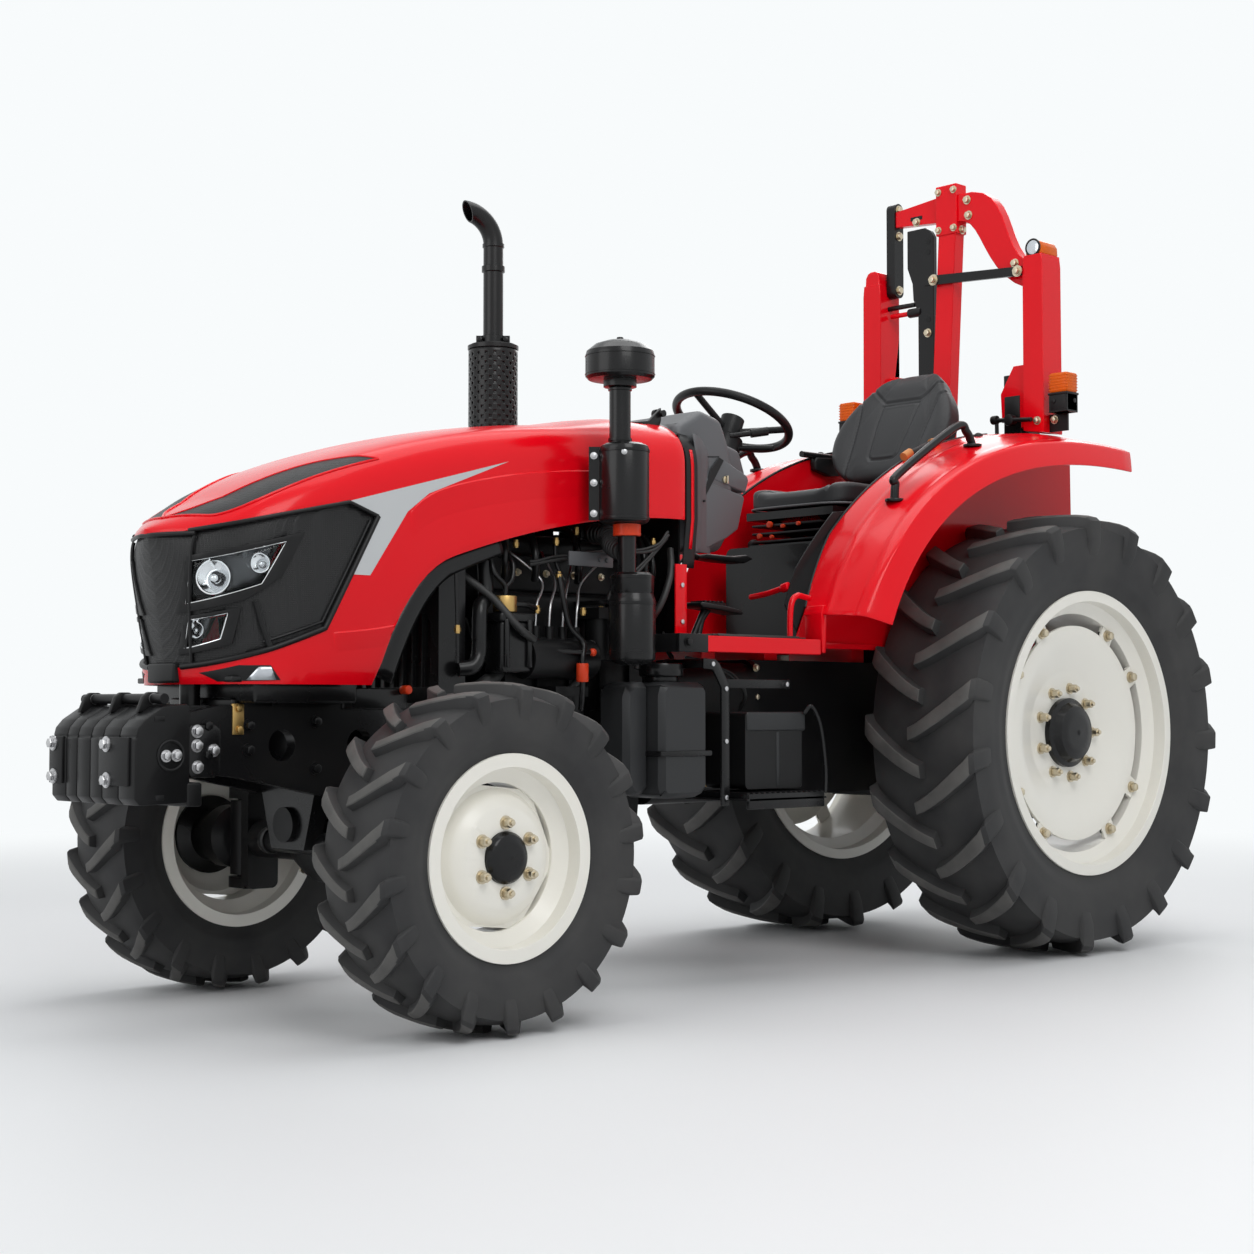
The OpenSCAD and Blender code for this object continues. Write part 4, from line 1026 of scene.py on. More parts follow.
    def nose(self, x, z, s, d):
        """The point of the skin seen from the side at X and Z."""
        x += FX
        xs = x
        for _ in range(12):
            p = self.flank(xs, z, s, d)
            xs += x - (p.x - AX) * 1000
            xs = min(xs, FX + NOSE)
        return p

    def front(self, y, z, d):
        """The point of the skin seen from the front at Y and Z."""
        lo, hi = FX + 300, FX + NOSE
        for _ in range(30):
            m = (lo + hi) / 2
            p = self.flank(m, z, 1, d)
            if p.y * 1000 > abs(y):
                lo = m
            else:
                hi = m
        p = self.flank((lo + hi) / 2, z, 1, d)
        return Vector((p.x, y * 0.001, p.z))

    def ring(self, outline, s, d, n=10):
        """A closed line on the skin along an outline."""
        pts = []
        for i, (x, z) in enumerate(outline):
            x2, z2 = outline[(i + 1) % len(outline)]
            for k in range(n):
                pts.append(self.nose(mix(x, x2, k / n), mix(z, z2, k / n), s, d))
        return pts

    def lamps(self):
        """Head and fog lamps: a dark bowl, bright reflectors and a clear cover with a bright rim."""
        rims = bmesh.new()
        for nm, outline, depth in (("headlamp", LAMP, 5), ("foglamp", FOG, 5)):
            bm = skin(depth)
            side_cut(bm, outline, True, 0.06)
            nodes = ("headlamps",) if nm == "headlamp" else ()
            obj = add_piece(f"{nm}_cover", bm, "clear_cover", nodes, smooth=38, body="hood")
            thicken(obj, 0.003)
            bm = skin(depth + 26)
            grown = [(x + (6 if x > 480 else -8), z + (8 if z > 1000 else -8)) for x, z in outline]
            side_cut(bm, grown, True, 0.05)
            obj = add_piece(f"{nm}_bowl", bm, "lamp_bowl", smooth=38, body="hood")
            thicken(obj, 0.002)
            for s in (1, -1):
                self.frame_strip(rims, self.ring(outline, s, 3.5), 0.002)
        bm = bmesh.new()
        for s in (1, -1):
            ax = Vector((0.74, s * 0.66, 0.1)).normalized()
            for x, z, r in ((506, 1112, 40), (418, 1148, 22), (520, 985, 19)):
                c = self.nose(x, z, s, 24)
                m = Matrix.Translation(c) @ turned(ax)
                k = r * 0.001
                prof = [(0.12, -0.3), (0.2, -0.3), (0.75, 0.05), (1.0, 0.32), (1.08, 0.32), (1.08, 0.1), (0.9, 0.0)]
                spin(bm, [m @ Vector((q * k, 0, h * k)) for q, h in prof], c, ax, steps=40)
                bmesh.ops.create_uvsphere(
                    bm, u_segments=16, v_segments=10, radius=k * 0.24, matrix=Matrix.Translation(c + ax * k * 0.05)
                )
        solid("lamp_reflectors", bm, "chrome", smooth=30, body="hood")
        solid("lamp_rims", rims, "chrome", smooth=40, body="hood")


# fenders

FENDER_IN = ((1040, 1076), (880, 1300), (520, 1830), (-470, 1728))
FENDER_OUT = ((990, 1067), (880, 1330), (560, 1740), (-390, 1672))


def inward(x, z):
    """Direction from a point in side view toward the rear axle."""
    return Vector((-x, REAR_HUB.z * 1000 - z)).normalized()


def fender_row(t, count=22):
    """One cross row of a fender, from the inner edge over the crown and down the deep lip."""
    a, b = bez2(FENDER_IN, t), bez2(FENDER_OUT, t)
    ya = mix(380, 296, min(1, t * 3.3))
    yb = mix(575, 596, min(1, t * 4))
    row = []
    for i in range(count + 1):
        k = i / count
        x, z = mix(a[0], b[0], k), mix(a[1], b[1], k)
        up = 12 * math.sin(math.pi * min(1, k * 0.96 + 0.02)) ** 0.8
        up += 4 * groove(k - 0.42, 0.03) + 4 * groove(k - 0.91, 0.035)
        n = inward(x, z)
        row.append((x - up * n.x, mix(ya, yb, k), z - up * n.y))
    n = inward(*b)
    for d, f in ((5, 0.12), (16, 0.28), (36, 0.55), (56, 0.8), (70, 0.96), (76, 1.0)):
        row.append((b[0] + d * n.x, mix(yb, 622, f), b[1] + d * n.y))
    row.append((b[0] + 77 * n.x, 616, b[1] + 77 * n.y))
    return row


class TRACTOR_OT_fenders(bpy.types.Operator):
    """Both fenders as crowned sheets with ridges and a deep lip, their walls and fittings."""

    bl_idname = "tractor.fenders"
    bl_label = "Fenders"

    def execute(self, context):
        for name, s in SIDES:
            bm = bmesh.new()
            loft(bm, [[mm(x, s * y, z) for x, y, z in fender_row(i / 48)] for i in range(49)])
            upward(bm)
            obj = add_piece(f"fender_{name}_sheet", bm, "red_paint", (f"fender_{name}",), smooth=50)
            thicken(obj, 0.006, 0.0015)
            self.wall(name, s)
            self.fittings(name, s)
        return {"FINISHED"}

    def wall(self, name, s):
        """Inner wall that joins the fender to the platform, and the front tab."""
        fz = sizes().floor_z
        bm = bmesh.new()
        edge = [bez2(FENDER_IN, 5 / 16 + i / 40 * 11 / 16) for i in range(41)]
        pts = [(-480, fz + 120), (-300, fz - 20), (1000, fz - 20)] + [(x, z - 3) for x, z in edge]
        slab(bm, pts, s * 291, s * 0.006, 0.0012, 1)
        block(bm, (400, s * 291, fz - 20), (960, s * 310, fz - 2), 0.002)
        tab = [(1018, fz - 40), (1034, fz - 40), (1038, fz + 80), (1026, fz + 104), (1010, fz + 104)]
        slab(bm, tab, s * 378, s * 0.068, 0.003)
        solid(f"fender_{name}_wall", bm, "red_paint")

    def fittings(self, name, s):
        """Rubber edge, black side cover beside the seat, ball lever and belt handle."""
        bm = bmesh.new()
        line = [bez2(FENDER_IN, i / 60) for i in range(2, 50)]
        tube(
            bm, [mm(x, s * (mix(380, 296, min(1, (i + 2) / 60 * 3.3)) - 2), z + 1) for i, (x, z) in enumerate(line)],
            0.0045, 8
        )
        front = [bez2(FENDER_IN, 0.04 + i / 12 * 0.33) for i in range(13)]
        bow = [(x + mix(8, 42, min(1, i / 5)), z + 8) for i, (x, z) in enumerate(front)]
        cover = [(620, 1010), (960, 1010)] + bow + [(620, 1430)]
        if s > 0:
            slab(bm, cover, s * 284, s * 0.005, 0.0015)
        disc(bm, mm(134, s * 350, 1672), (0, 0, 1), 0.009, 0.02, 16)
        bmesh.ops.create_uvsphere(
            bm, u_segments=20, v_segments=14, radius=0.017, matrix=Matrix.Translation(mm(134, s * 350, 1700))
        )
        pipe(bm, [(186, s * 372, 1676), (162, s * 366, 1690), (140, s * 360, 1682)], 0.006, 10, n=6)
        if s > 0:
            pipe(bm, [(462, 306, 1618), (410, 304, 1634), (350, 303, 1658), (306, 304, 1672)], 0.012, 12, n=6)
        solid(f"fender_{name}_fittings", bm, "black_plastic", smooth=40)
        if s > 0:
            tips = bmesh.new()
            for p, q in (((474, 306, 1610), (440, 306, 1628)), ((330, 303, 1668), (300, 305, 1676))):
                rod(tips, (p, q), 0.0145, 14)
            solid("belt_handle_grips", tips, "orange_grip", smooth=40)


# seat


def pad_mesh(shape, cuts=18, power=5.0):
    """A closed pad: a divided cube rounded off and then shaped point by point."""
    bm = bmesh.new()
    bmesh.ops.create_cube(bm, size=2.0)
    bmesh.ops.subdivide_edges(bm, edges=bm.edges[:], cuts=cuts, use_grid_fill=True)
    for v in bm.verts:
        u = v.co.copy()
        m = max(abs(c) for c in u)
        norm = sum(abs(c) ** power for c in u) ** (1 / power)
        v.co = shape(*(u * (m / norm)))
    outward(bm)
    return bm


def line_distance(p, lines):
    """Distance from a flat point to the nearest of some lines."""
    best = 1e9
    for line in lines:
        for a, b in zip(line, line[1:]):
            d = b - a
            t = max(0.0, min(1.0, (p - a).dot(d) / d.length_squared))
            best = min(best, (p - a - d * t).length)
    return best


def back_half(t):
    """Half width of the seat back at a share of its height."""
    return mix(200, 258, math.sin(math.pi * min(1, max(0, t) * 1.25))) - 95 * max(0, t) ** 6


class TRACTOR_OT_seat(bpy.types.Operator):
    """Cushion and back: pads swollen by cloth pressure, then sewn along their seams."""

    bl_idname = "tractor.seat"
    bl_label = "Seat"

    def execute(self, context):
        z0 = sizes().seat_z
        tilt = Matrix.Translation(mm(226, 0, z0 + 40)) @ Matrix.Rotation(math.radians(-30), 4, "Y")
        back_to = tilt.inverted()

        def cushion(u, v, w):
            half = mix(200, 219, (u + 1) / 2) - 10 * max(0, u) ** 4
            side = abs(v)
            top = 16 * clamp((side - 0.5) / 0.3) - 5 * (1 - side**2) + 8 * max(0, u) ** 2 if w > 0 else 0
            return mm(489 + 200 * u, half * v, z0 + 40 + 31 * w + top - 16 * max(0, u) ** 5)

        def back(w, u, v):
            t = (v + 1) / 2
            side = abs(u)
            bulge = 18 * clamp((side - 0.55) / 0.3) + 10 * math.sin(math.pi * t) if w > 0 else 0
            return tilt @ Vector((
                0.042 + 0.03 * w + bulge * 0.001, (back_half(t) - 8) * u * 0.001, 0.078 + 0.444 * t
            ))

        def cushion_flat(co, no):
            x, y, z = (co.x - AX) * 1000, co.y * 1000, co.z * 1000
            return Vector((x, y)), no.z > 0.2 and z > z0 + 40

        def back_flat(co, no):
            p = back_to @ co
            return Vector((p.y * 1000, p.z * 1000 - 70)), (back_to.to_3x3() @ no).x > 0.2

        def curve(pts):
            return [Vector(p) for p in pts]

        seat_lines, back_lines = [], []
        for s in (1, -1):
            seat_lines.append(curve([(300, s * 118), (420, s * 126), (560, s * 132), (640, s * 150), (700, s * 158)]))
            back_lines.append(curve([(0, 322), (s * 78, 322), (s * 160, 392), (s * 200, 424)]))
            back_lines.append(curve([(s * 80, 308), (s * 76, 220), (s * 64, 96), (s * 50, 80), (0, 78)]))
            back_lines.append(curve([(0, 310), (s * 80, 308)]))
            back_lines.append(curve([
                (s * 246, 330), (s * 196, 342), (s * 172, 320), (s * 162, 250), (s * 150, 120), (s * 146, 0)
            ]))
        seat_lines.append(curve([(640, -152), (632, 0), (640, 152)]))
        seat_lines.append(curve([(420, -126), (412, 0), (420, 126)]))
        for name, shape, flat, lines in (
            ("seat_cushion", cushion, cushion_flat, seat_lines), ("seat_back", back, back_flat, back_lines)
        ):
            bm = pad_mesh(shape)
            bm = self.swell(bm, flat, lines)
            self.sew(bm, flat, lines)
            obj = add_piece(f"{name}_pad", bm, "seat_leather", (name,))
            sub = obj.modifiers.new("round", "SUBSURF")
            sub.levels = sub.render_levels = 1
        self.fittings(z0)
        return {"FINISHED"}

    def swell(self, bm, flat, lines, cap=0.02):
        """Remeshes a pad and lets cloth pressure fill it; its underside and seams are held."""
        scene = bpy.context.scene
        mesh = bpy.data.meshes.new("pad_form")
        bm.to_mesh(mesh)
        bm.free()
        form = bpy.data.objects.new("pad_form", mesh)
        scene.collection.objects.link(form)
        voxels = form.modifiers.new("voxels", "REMESH")
        voxels.mode = "VOXEL"
        voxels.voxel_size = 0.006
        dense = bpy.data.meshes.new_from_object(form.evaluated_get(bpy.context.evaluated_depsgraph_get()))
        form.modifiers.remove(voxels)
        form.data = dense
        held = form.vertex_groups.new(name="held")
        for v in dense.vertices:
            p, front = flat(v.co, v.normal)
            if not front:
                held.add([v.index], 1.0, "REPLACE")
            else:
                held.add([v.index], groove(line_distance(p, lines), 9.0), "REPLACE")
        cloth = form.modifiers.new("cloth", "CLOTH")
        cloth.settings.use_pressure = True
        cloth.settings.uniform_pressure_force = 4.0
        cloth.settings.effector_weights.gravity = 0.0
        cloth.settings.vertex_group_mass = "held"
        cloth.point_cache.frame_end = 20
        for f in range(1, 21):
            scene.frame_set(f)
        moved = form.evaluated_get(bpy.context.evaluated_depsgraph_get()).data
        out = bmesh.new()
        out.from_mesh(dense)
        for v, m in zip(out.verts, moved.vertices):
            d = m.co - v.co
            v.co += d if d.length <= cap else d * (cap / d.length)
        bpy.data.objects.remove(form)
        bpy.data.meshes.remove(mesh)
        bpy.data.meshes.remove(dense)
        scene.frame_set(1)
        return out

    def sew(self, bm, flat, lines):
        """Presses the seams into a pad."""
        bm.normal_update()
        moves = []
        for v in bm.verts:
            p, front = flat(v.co, v.normal)
            if front:
                d = line_distance(p, lines)
                moves.append((v, v.normal * (0.0015 * groove(d - 9, 4.0) - 0.006 * groove(d, 5.0))))
        for v, d in moves:
            v.co += d

    def fittings(self, z0):
        """Welt round the cushion, arm rest pad, suspension covers and red knobs."""
        bm = bmesh.new()
        ring = []
        for i in range(64):
            a = i * math.tau / 64
            c, s = math.cos(a), math.sin(a)
            k = 1 / (abs(c) ** 5 + abs(s) ** 5) ** 0.2
            u, v = c * k, s * k
            half = mix(202, 221, (u + 1) / 2) - 10 * max(0, u) ** 4
            ring.append(mm(489 + 202 * u, half * v, z0 + 12))
        tube(bm, ring + ring[:1], 0.004, 8, cap=False)
        add_piece("seat_welt", bm, "piping", smooth=40)
        dark = bmesh.new()
        rest = [
            (262, z0 + 220), (252, z0 + 234), (214, z0 + 236), (110, z0 + 243), (116, z0 + 178), (180, z0 + 172),
            (258, z0 + 188)
        ]
        slab(dark, rest, -288, 0.026, 0.006, 3)
        for k in range(3):
            block(dark, (300, -152, z0 - 104 + k * 26), (706, 152, z0 - 96 + k * 26), 0.003)
        block(dark, (690, -172, z0 - 122), (702, 172, z0 - 114), 0.002)
        solid("seat_fittings", dark, "black_plastic")
        red = bmesh.new()
        for y, z, r in (
            (-67, z0 - 46, 11), (-9, z0 - 54, 7), (-112, z0 - 82, 9), (-57, z0 - 87, 7), (60, z0 - 50, 7)
        ):
            disc(red, mm(704, y, z), (1, 0, 0), r * 0.001, 0.012, 16, bevel=0.002)
        solid("seat_knobs", red, "signal_red")


# intake and exhaust


class TRACTOR_OT_pipes(bpy.types.Operator):
    """Perforated exhaust shield, clamps and the intake's bands and bolts."""

    bl_idname = "tractor.pipes"
    bl_label = "Intake and exhaust"

    def execute(self, context):
        half = sizes().hood_half
        self.along = Vector((math.cos(math.radians(43)), -math.sin(math.radians(43)), 0))
        self.facing = Vector((math.sin(math.radians(43)), math.cos(math.radians(43)), 0))
        self.shield(1632, -half - 88)
        self.intake(1810, half + 113)
        return {"FINISHED"}

    def bands(self, bm, x, y, rings, steps=56):
        """Flat hoops at heights round an upright axis."""
        for z, r, h in rings:
            prof = [(r - 6, 0), (r, 1.5), (r, h - 1.5), (r - 6, h)]
            spin(bm, [mm(x + q, y, z + k) for q, k in prof], mm(x, y, 0), (0, 0, 1), steps=steps)

    def shield(self, x, y):
        """Sleeve with rows of punched round holes about the muffler."""
        axis = mm(x, y, 0)
        bm = bmesh.new()
        rows = 26
        pts = [mm(x, y, mix(1516, 1910, i / rows)) + Vector((0.0765, 0, 0)) for i in range(rows + 1)]
        spin(bm, pts, axis, (0, 0, 1), steps=36)
        bmesh.ops.remove_doubles(bm, verts=bm.verts, dist=JOIN)
        outward(bm)
        faces = []
        for f in bm.faces:
            c = f.calc_center_median() - axis
            col = round((math.atan2(c.y, c.x) % math.tau) / (math.tau / 36) - 0.5)
            row = round((c.z * 1000 - 1516) / (394 / rows) - 0.5)
            if (col + row) % 2 and 0 < row < rows - 1:
                faces.append(f)
        bmesh.ops.inset_individual(bm, faces=faces, thickness=0.0028, depth=0.0)
        edges = list({e for f in faces for e in f.edges})
        bmesh.ops.subdivide_edges(bm, edges=edges, cuts=1)
        for f in faces:
            c = f.calc_center_median()
            for v in f.verts:
                v.co = c + (v.co - c).normalized() * 0.0047
        bmesh.ops.delete(bm, geom=faces, context="FACES_ONLY")
        obj = add_piece("exhaust_shield", bm, "black_paint", smooth=40)
        thicken(obj, 0.002)
        bm = bmesh.new()
        self.bands(bm, x, y, ((1502, 79, 15), (1906, 79, 14)))
        for k in (-40, 40):
            bolt(bm, mm(x, y, 1937) + self.along * k * 0.001 + self.facing * 0.013, self.facing, 0.008, 0.016)
        solid("exhaust_bands", bm, "black_paint")

    def intake(self, x, y):
        """Bands, bolts, a red band and the hose of the air cleaner."""
        bm = bmesh.new()
        self.bands(bm, x, y, ((1312, 71, 9), (1498, 71, 9)))
        self.bands(bm, x + 16, y, ((1528, 33, 10), (1668, 33, 8), (1712, 97.5, 4), (1762, 97.5, 4)))
        self.bands(bm, x - 30, y, ((944, 66.5, 10), (1078, 66.5, 10), (1150, 61.5, 8)))
        solid("intake_bands", bm, "black_paint")
        nuts = bmesh.new()
        for z in (1490, 1415, 1330):
            bolt(nuts, mm(x, y, z) + self.along * 0.084 + self.facing * 0.006, self.facing, 0.0075, 0.014)
        bolt(nuts, mm(x, y, 1494) + self.facing * 0.069, self.facing, 0.006, 0.008)
        solid("intake_bolts", nuts, "bare_steel")
        band = bmesh.new()
        self.bands(band, x - 10, y, ((1268, 38.5, 34),), 48)
        outward(band)
        add_piece("intake_signal_band", band, "signal_red", smooth=35)
        hose = bmesh.new()
        path = smooth_path(
            [mm(x - 14, y - 20, 1228), mm(x - 60, y - 110, 1252), mm(x - 90, 240, 1285), mm(x - 110, 150, 1298)], 10
        )
        tube(hose, path, 0.027, 24)
        for i in range(3, len(path) - 3, 2):
            p, d = path[i], (path[i + 1] - path[i - 1]).normalized()
            self.ring(hose, p, d, 0.0305)
        solid("intake_hose", hose, "hose_rubber", smooth=40)

    def ring(self, bm, c, d, r):
        """A thin band round an axis."""
        m = Matrix.Translation(c) @ turned(d)
        prof = [
            m @ Vector((r - 0.005, 0, -0.005)), m @ Vector((r, 0, -0.002)), m @ Vector((r, 0, 0.002)),
            m @ Vector((r - 0.005, 0, 0.005))
        ]
        spin(bm, prof, c, d, steps=24)


# driver's place


class TRACTOR_OT_console(bpy.types.Operator):
    """Rounded console with its side blocks, flared front, trim band, dials and switches."""

    bl_idname = "tractor.console"
    bl_label = "Console"

    def execute(self, context):
        bm = bmesh.new()
        side = [
            (1439, 1262), (1439, 1630), (1400, 1648), (1330, 1688), (1244, 1664), (1206, 1578), (1190, 1496),
            (1204, 1340), (1290, 1264)
        ]
        slab(bm, side, -236, 0.472, 0.024, 4)
        cowl = [(1230, 1268), (1150, 1276), (1062, 1400), (1034, 1520), (1062, 1596), (1240, 1640)]
        slab(bm, cowl, -138, 0.276, 0.02, 4)
        block(bm, (1384, -110, sizes().floor_z + 1), (1438, 70, 1270), 0.012, 3)
        upper = [(1243, 1545), (1138, 1502), (1131, 1488), (1146, 1449), (1290, 1479)]
        lower = [
            (1404, 1520), (1404, 1256), (1356, 1253), (1230, 1306), (1181, 1336), (1152, 1432), (1160, 1441),
            (1292, 1468), (1330, 1500)
        ]
        for s in (1, -1):
            slab(bm, upper, s * 150, s * 0.088, 0.006, 3)
            slab(bm, lower, s * 150, s * 0.090, 0.006, 3)
        solid("console_shell", bm, "grey_plastic", ("console",), smooth=40)
        self.flare()
        self.details()
        self.trim()
        self.dials()
        return {"FINISHED"}

    def flare(self):
        """Front part of each flank, which swings out to meet the trim band."""
        for s, nm in ((1, "left"), (-1, "right")):
            bm = bmesh.new()
            rows = []
            for i in range(25):
                z = mix(1256, 1606, i / 24)
                sweep = [(1398, 274), (1386, 270), (1366, 258), (1346, 248), (1322, 241), (1296, 234)]
                rows.append([mm(x, s * (y - 12 * max(0, (z - 1540) / 66) ** 2), z) for x, y in sweep])
            loft(bm, rows)
            outward(bm)
            if sum(f.normal.y * s for f in bm.faces) < 0:
                bmesh.ops.reverse_faces(bm, faces=bm.faces)
            obj = add_piece(f"console_flare_{nm}", bm, "grey_plastic", smooth=40)
            thicken(obj, 0.004, 0.001)

    def details(self):
        """Dark lever slots, a joint line and the key switch."""
        bm = bmesh.new()
        key = bmesh.new()
        for s in (1, -1):
            slot = [(1330, 1436), (1300, 1510), (1264, 1548), (1244, 1540), (1286, 1478), (1324, 1424)]
            slab(bm, slot, s * 238, s * 0.003, 0.001, 1)
            rod(bm, [(1362, s * 238, 1541), (1310, s * 237, 1546), (1262, s * 237, 1550)], 0.0016, 6)
            for x, z in ((1372, 1548), (1340, 1410)):
                disc(bm, mm(x, s * 250, z), (0, s, 0), 0.004, 0.004, 10)
        disc(key, mm(1238, 236, 1482), (0, 1, 0), 0.011, 0.008, 20, bevel=0.002)
        block(key, (1235, 242, 1470), (1241, 252, 1494), 0.001)
        solid("console_slots", bm, "black_plastic")
        stalk = bmesh.new()
        rod(stalk, [(1010, 40, 1655), (940, 84, 1668)], 0.009, 14)
        rod(stalk, [(952, 76, 1665), (905, 106, 1674)], 0.014, 16)
        solid("signal_stalk", stalk, "black_plastic", smooth=40)
        solid("key_switch", key, "zinc_bolts")

    def trim(self):
        """Black band with a red line where the hood meets the console, and the strip below it."""
        ring = [hood_pt(HOOD_X0, i / 80, 3) for i in range(81)]
        foot = [Vector((ring[-1].x, ring[-1].y, z * 0.001)) for z in (1320, 1290, 1260, 1230, 1204)]
        line = [Vector((p.x, -p.y, p.z)) for p in reversed(foot)] + ring + foot

        def at(x, grow):
            out = []
            for p in line:
                lean = max(0, 1345 - p.z * 1000) * 0.12
                out.append(Vector((
                    AX + (x + lean) * 0.001, p.y + math.copysign(grow, p.y) * (abs(p.y) > 0.2),
                    p.z + grow * (abs(p.y) <= 0.2)
                )))
            return out

        bm = bmesh.new()
        loft(bm, [at(1447, 0.0), at(1444, 0.003), at(1424, 0.004), at(1402, 0.003), at(1398, -0.002)])
        self.outwards(bm)
        obj = add_piece("console_band", bm, "black_plastic", smooth=40)
        thicken(obj, 0.004)
        red = bmesh.new()
        for s in (1, -1):
            part = [i for i, p in enumerate(line) if p.y * s > 0.2 and 1.24 < p.z < 1.56]
            rows = [[at(x, 0.0055)[i] for i in part] for x in (1428, 1416)]
            loft(red, rows)
        nuts = bmesh.new()
        for s in (1, -1):
            block(red, (1446, s * 279, sizes().floor_z + 2), (1492, s * 285, 1214), 0.0015)
            for z in (1153, 1046):
                disc(nuts, mm(1467, s * 285, z), (0, s, 0), 0.007, 0.005, 16, bevel=0.001)
        self.outwards(red)
        solid("console_strip_screws", nuts, "bare_steel")
        obj = add_piece("console_red_line", red, "red_paint", smooth=40)
        thicken(obj, 0.001)

    def outwards(self, bm):
        """Turns the faces of a hoop away from the middle of the tractor."""
        outward(bm)
        mid = mm(1425, 0, 1430)
        if sum((f.calc_center_median() - mid).dot(f.normal) * f.calc_area() for f in bm.faces) < 0:
            bmesh.ops.reverse_faces(bm, faces=bm.faces)

    def dials(self):
        """Dark instrument field with plain round dials and switches, facing the driver."""
        bm = bmesh.new()
        ring = bmesh.new()
        c0 = mm(1228, 0, 1628)
        ax = Vector((-0.92, 0, 0.39)).normalized()
        t = Vector((0, 1, 0))
        v = ax.cross(t)
        for y, k, r in ((-0.085, 0, 0.05), (0.085, 0, 0.05), (0, 0.005, 0.028)):
            c = c0 + t * y + v * k
            disc(bm, c - ax * 0.012, ax, r, 0.014, 40, bevel=0.001)
            m = Matrix.Translation(c) @ turned(ax)
            prof = [
                m @ Vector((r, 0, -0.006)), m @ Vector((r + 0.005, 0, 0.004)), m @ Vector((r + 0.002, 0, 0.007)),
                m @ Vector((r - 0.003, 0, 0.003))
            ]
            spin(ring, prof, c, ax, steps=40)
        for i in range(5):
            y = 45 * (i - 2)
            block(ring, (1188, y - 12, 1532), (1204, y + 12, 1552), 0.003)
        solid("console_dials", bm, "black_plastic")
        solid("console_dial_rings", ring, "bare_steel")


class TRACTOR_OT_cab_floor(bpy.types.Operator):
    """Ribbed mat, pedal pads, levers, grab loop and handrails."""

    bl_idname = "tractor.cab_floor"
    bl_label = "Driver's floor"

    def execute(self, context):
        fz = sizes().floor_z
        mat = bmesh.new()
        for s in (1, -1):
            block(mat, (1090, s * 135, fz), (1460, s * 430, fz + 5), 0.002)
            for i in range(14):
                y = s * (150 + i * 20)
                block(mat, (1100, y - 4, fz + 4), (1450, y + 4, fz + 9), 0.0015, 1)
        block(mat, (820, -270, fz), (1086, 270, fz + 5), 0.002)
        for i in range(26):
            y = -252 + i * 20
            block(mat, (830, y - 4, fz + 4), (1078, y + 4, fz + 9), 0.0015, 1)
        solid("floor_mat", mat, "hose_rubber")
        pads = bmesh.new()
        for x, y in ((1330, 190), (1330, -165), (1330, -242)):
            for k in range(5):
                block(pads, (x - 104 + k * 18, y - 32, fz + 111), (x - 96 + k * 18, y + 32, fz + 117), 0.0015, 1)
        plate(
            pads,
            [mm(x, 152, fz + z) for x, z in (
                (1332, 104), (1326, 112), (1230, 104), (1160, 94), (1142, 84), (1152, 78), (1240, 88), (1320, 94)
            )],
            (0, 0.076, 0), 0.005, 3
        )
        tube(pads, [mm(1306, 190, fz + 4), mm(1290, 190, fz + 60), mm(1262, 190, fz + 92)], 0.01, 12)
        plate(
            pads,
            [mm(x, -20, fz + z) for x, z in (
                (1140, 262), (1120, 276), (1000, 274), (940, 282), (910, 270), (950, 254), (1060, 256)
            )],
            (0, 0.07, 0), 0.006, 3
        )
        tube(pads, [mm(1130, 15, fz + 266), mm(1240, 15, fz + 290), mm(1330, 15, fz + 300)], 0.01, 12)
        for s in (1, -1):
            block(pads, (1529, s * 449, fz - 48), (1641, s * 454, fz + 4), 0.002)
            bolt(pads, mm(1612, s * 454, fz - 20), (0, s, 0), 0.011, 0.012)
            block(pads, (1639, s * 440, fz - 48), (1645, s * 454, fz + 4), 0.002)
            if s > 0:
                block(pads, (1639, 262, fz - 48), (1645, 442, fz + 4), 0.002)
        solid("pedal_pads", pads, "black_plastic")
        red = bmesh.new()
        pipe(
            red,
            [
                (1128, 400, fz + 2), (1126, 400, fz + 80), (1115, 400, fz + 118), (1092, 400, fz + 132),
                (1070, 400, fz + 130), (1040, 400, fz + 126)
            ],
            0.009, 14
        )
        pipe(red, [(1000, 120, fz + 142), (1002, 190, fz + 150), (1000, 264, fz + 166)], 0.009, 14, n=6)
        disc(red, mm(1000, 252, fz + 163), (0, 0.97, 0.22), 0.014, 0.03, 18, bevel=0.004)
        solid("grab_loop", red, "red_paint", smooth=40)
        self.rails()
        return {"FINISHED"}

    def rails(self):
        """Handrails at both sides of the platform."""
        bm = bmesh.new()
        for s in (1, -1):
            ends = []
            for t in (0.41, 0.68):
                x, y, z = fender_row(t)[13]
                ends.append(mm(x, s * y, z))
            a, d = ends
            path = [
                a, a + Vector((-0.004, 0, 0.05)), a + Vector((-0.02, 0, 0.085)), d + Vector((0.09, 0, 0.052)),
                d + Vector((0.03, 0, 0.042)), d
            ]
            tube(bm, smooth_path(path, 10), 0.0135, 16)
            for p in (a, d):
                disc(bm, p - Vector((0, 0, 0.004)), (0, 0, 1), 0.03, 0.01, 24, bevel=0.002)
        solid("handrail_bars", bm, "black_paint", ("handrails",), smooth=40)


# engine and chassis dressing


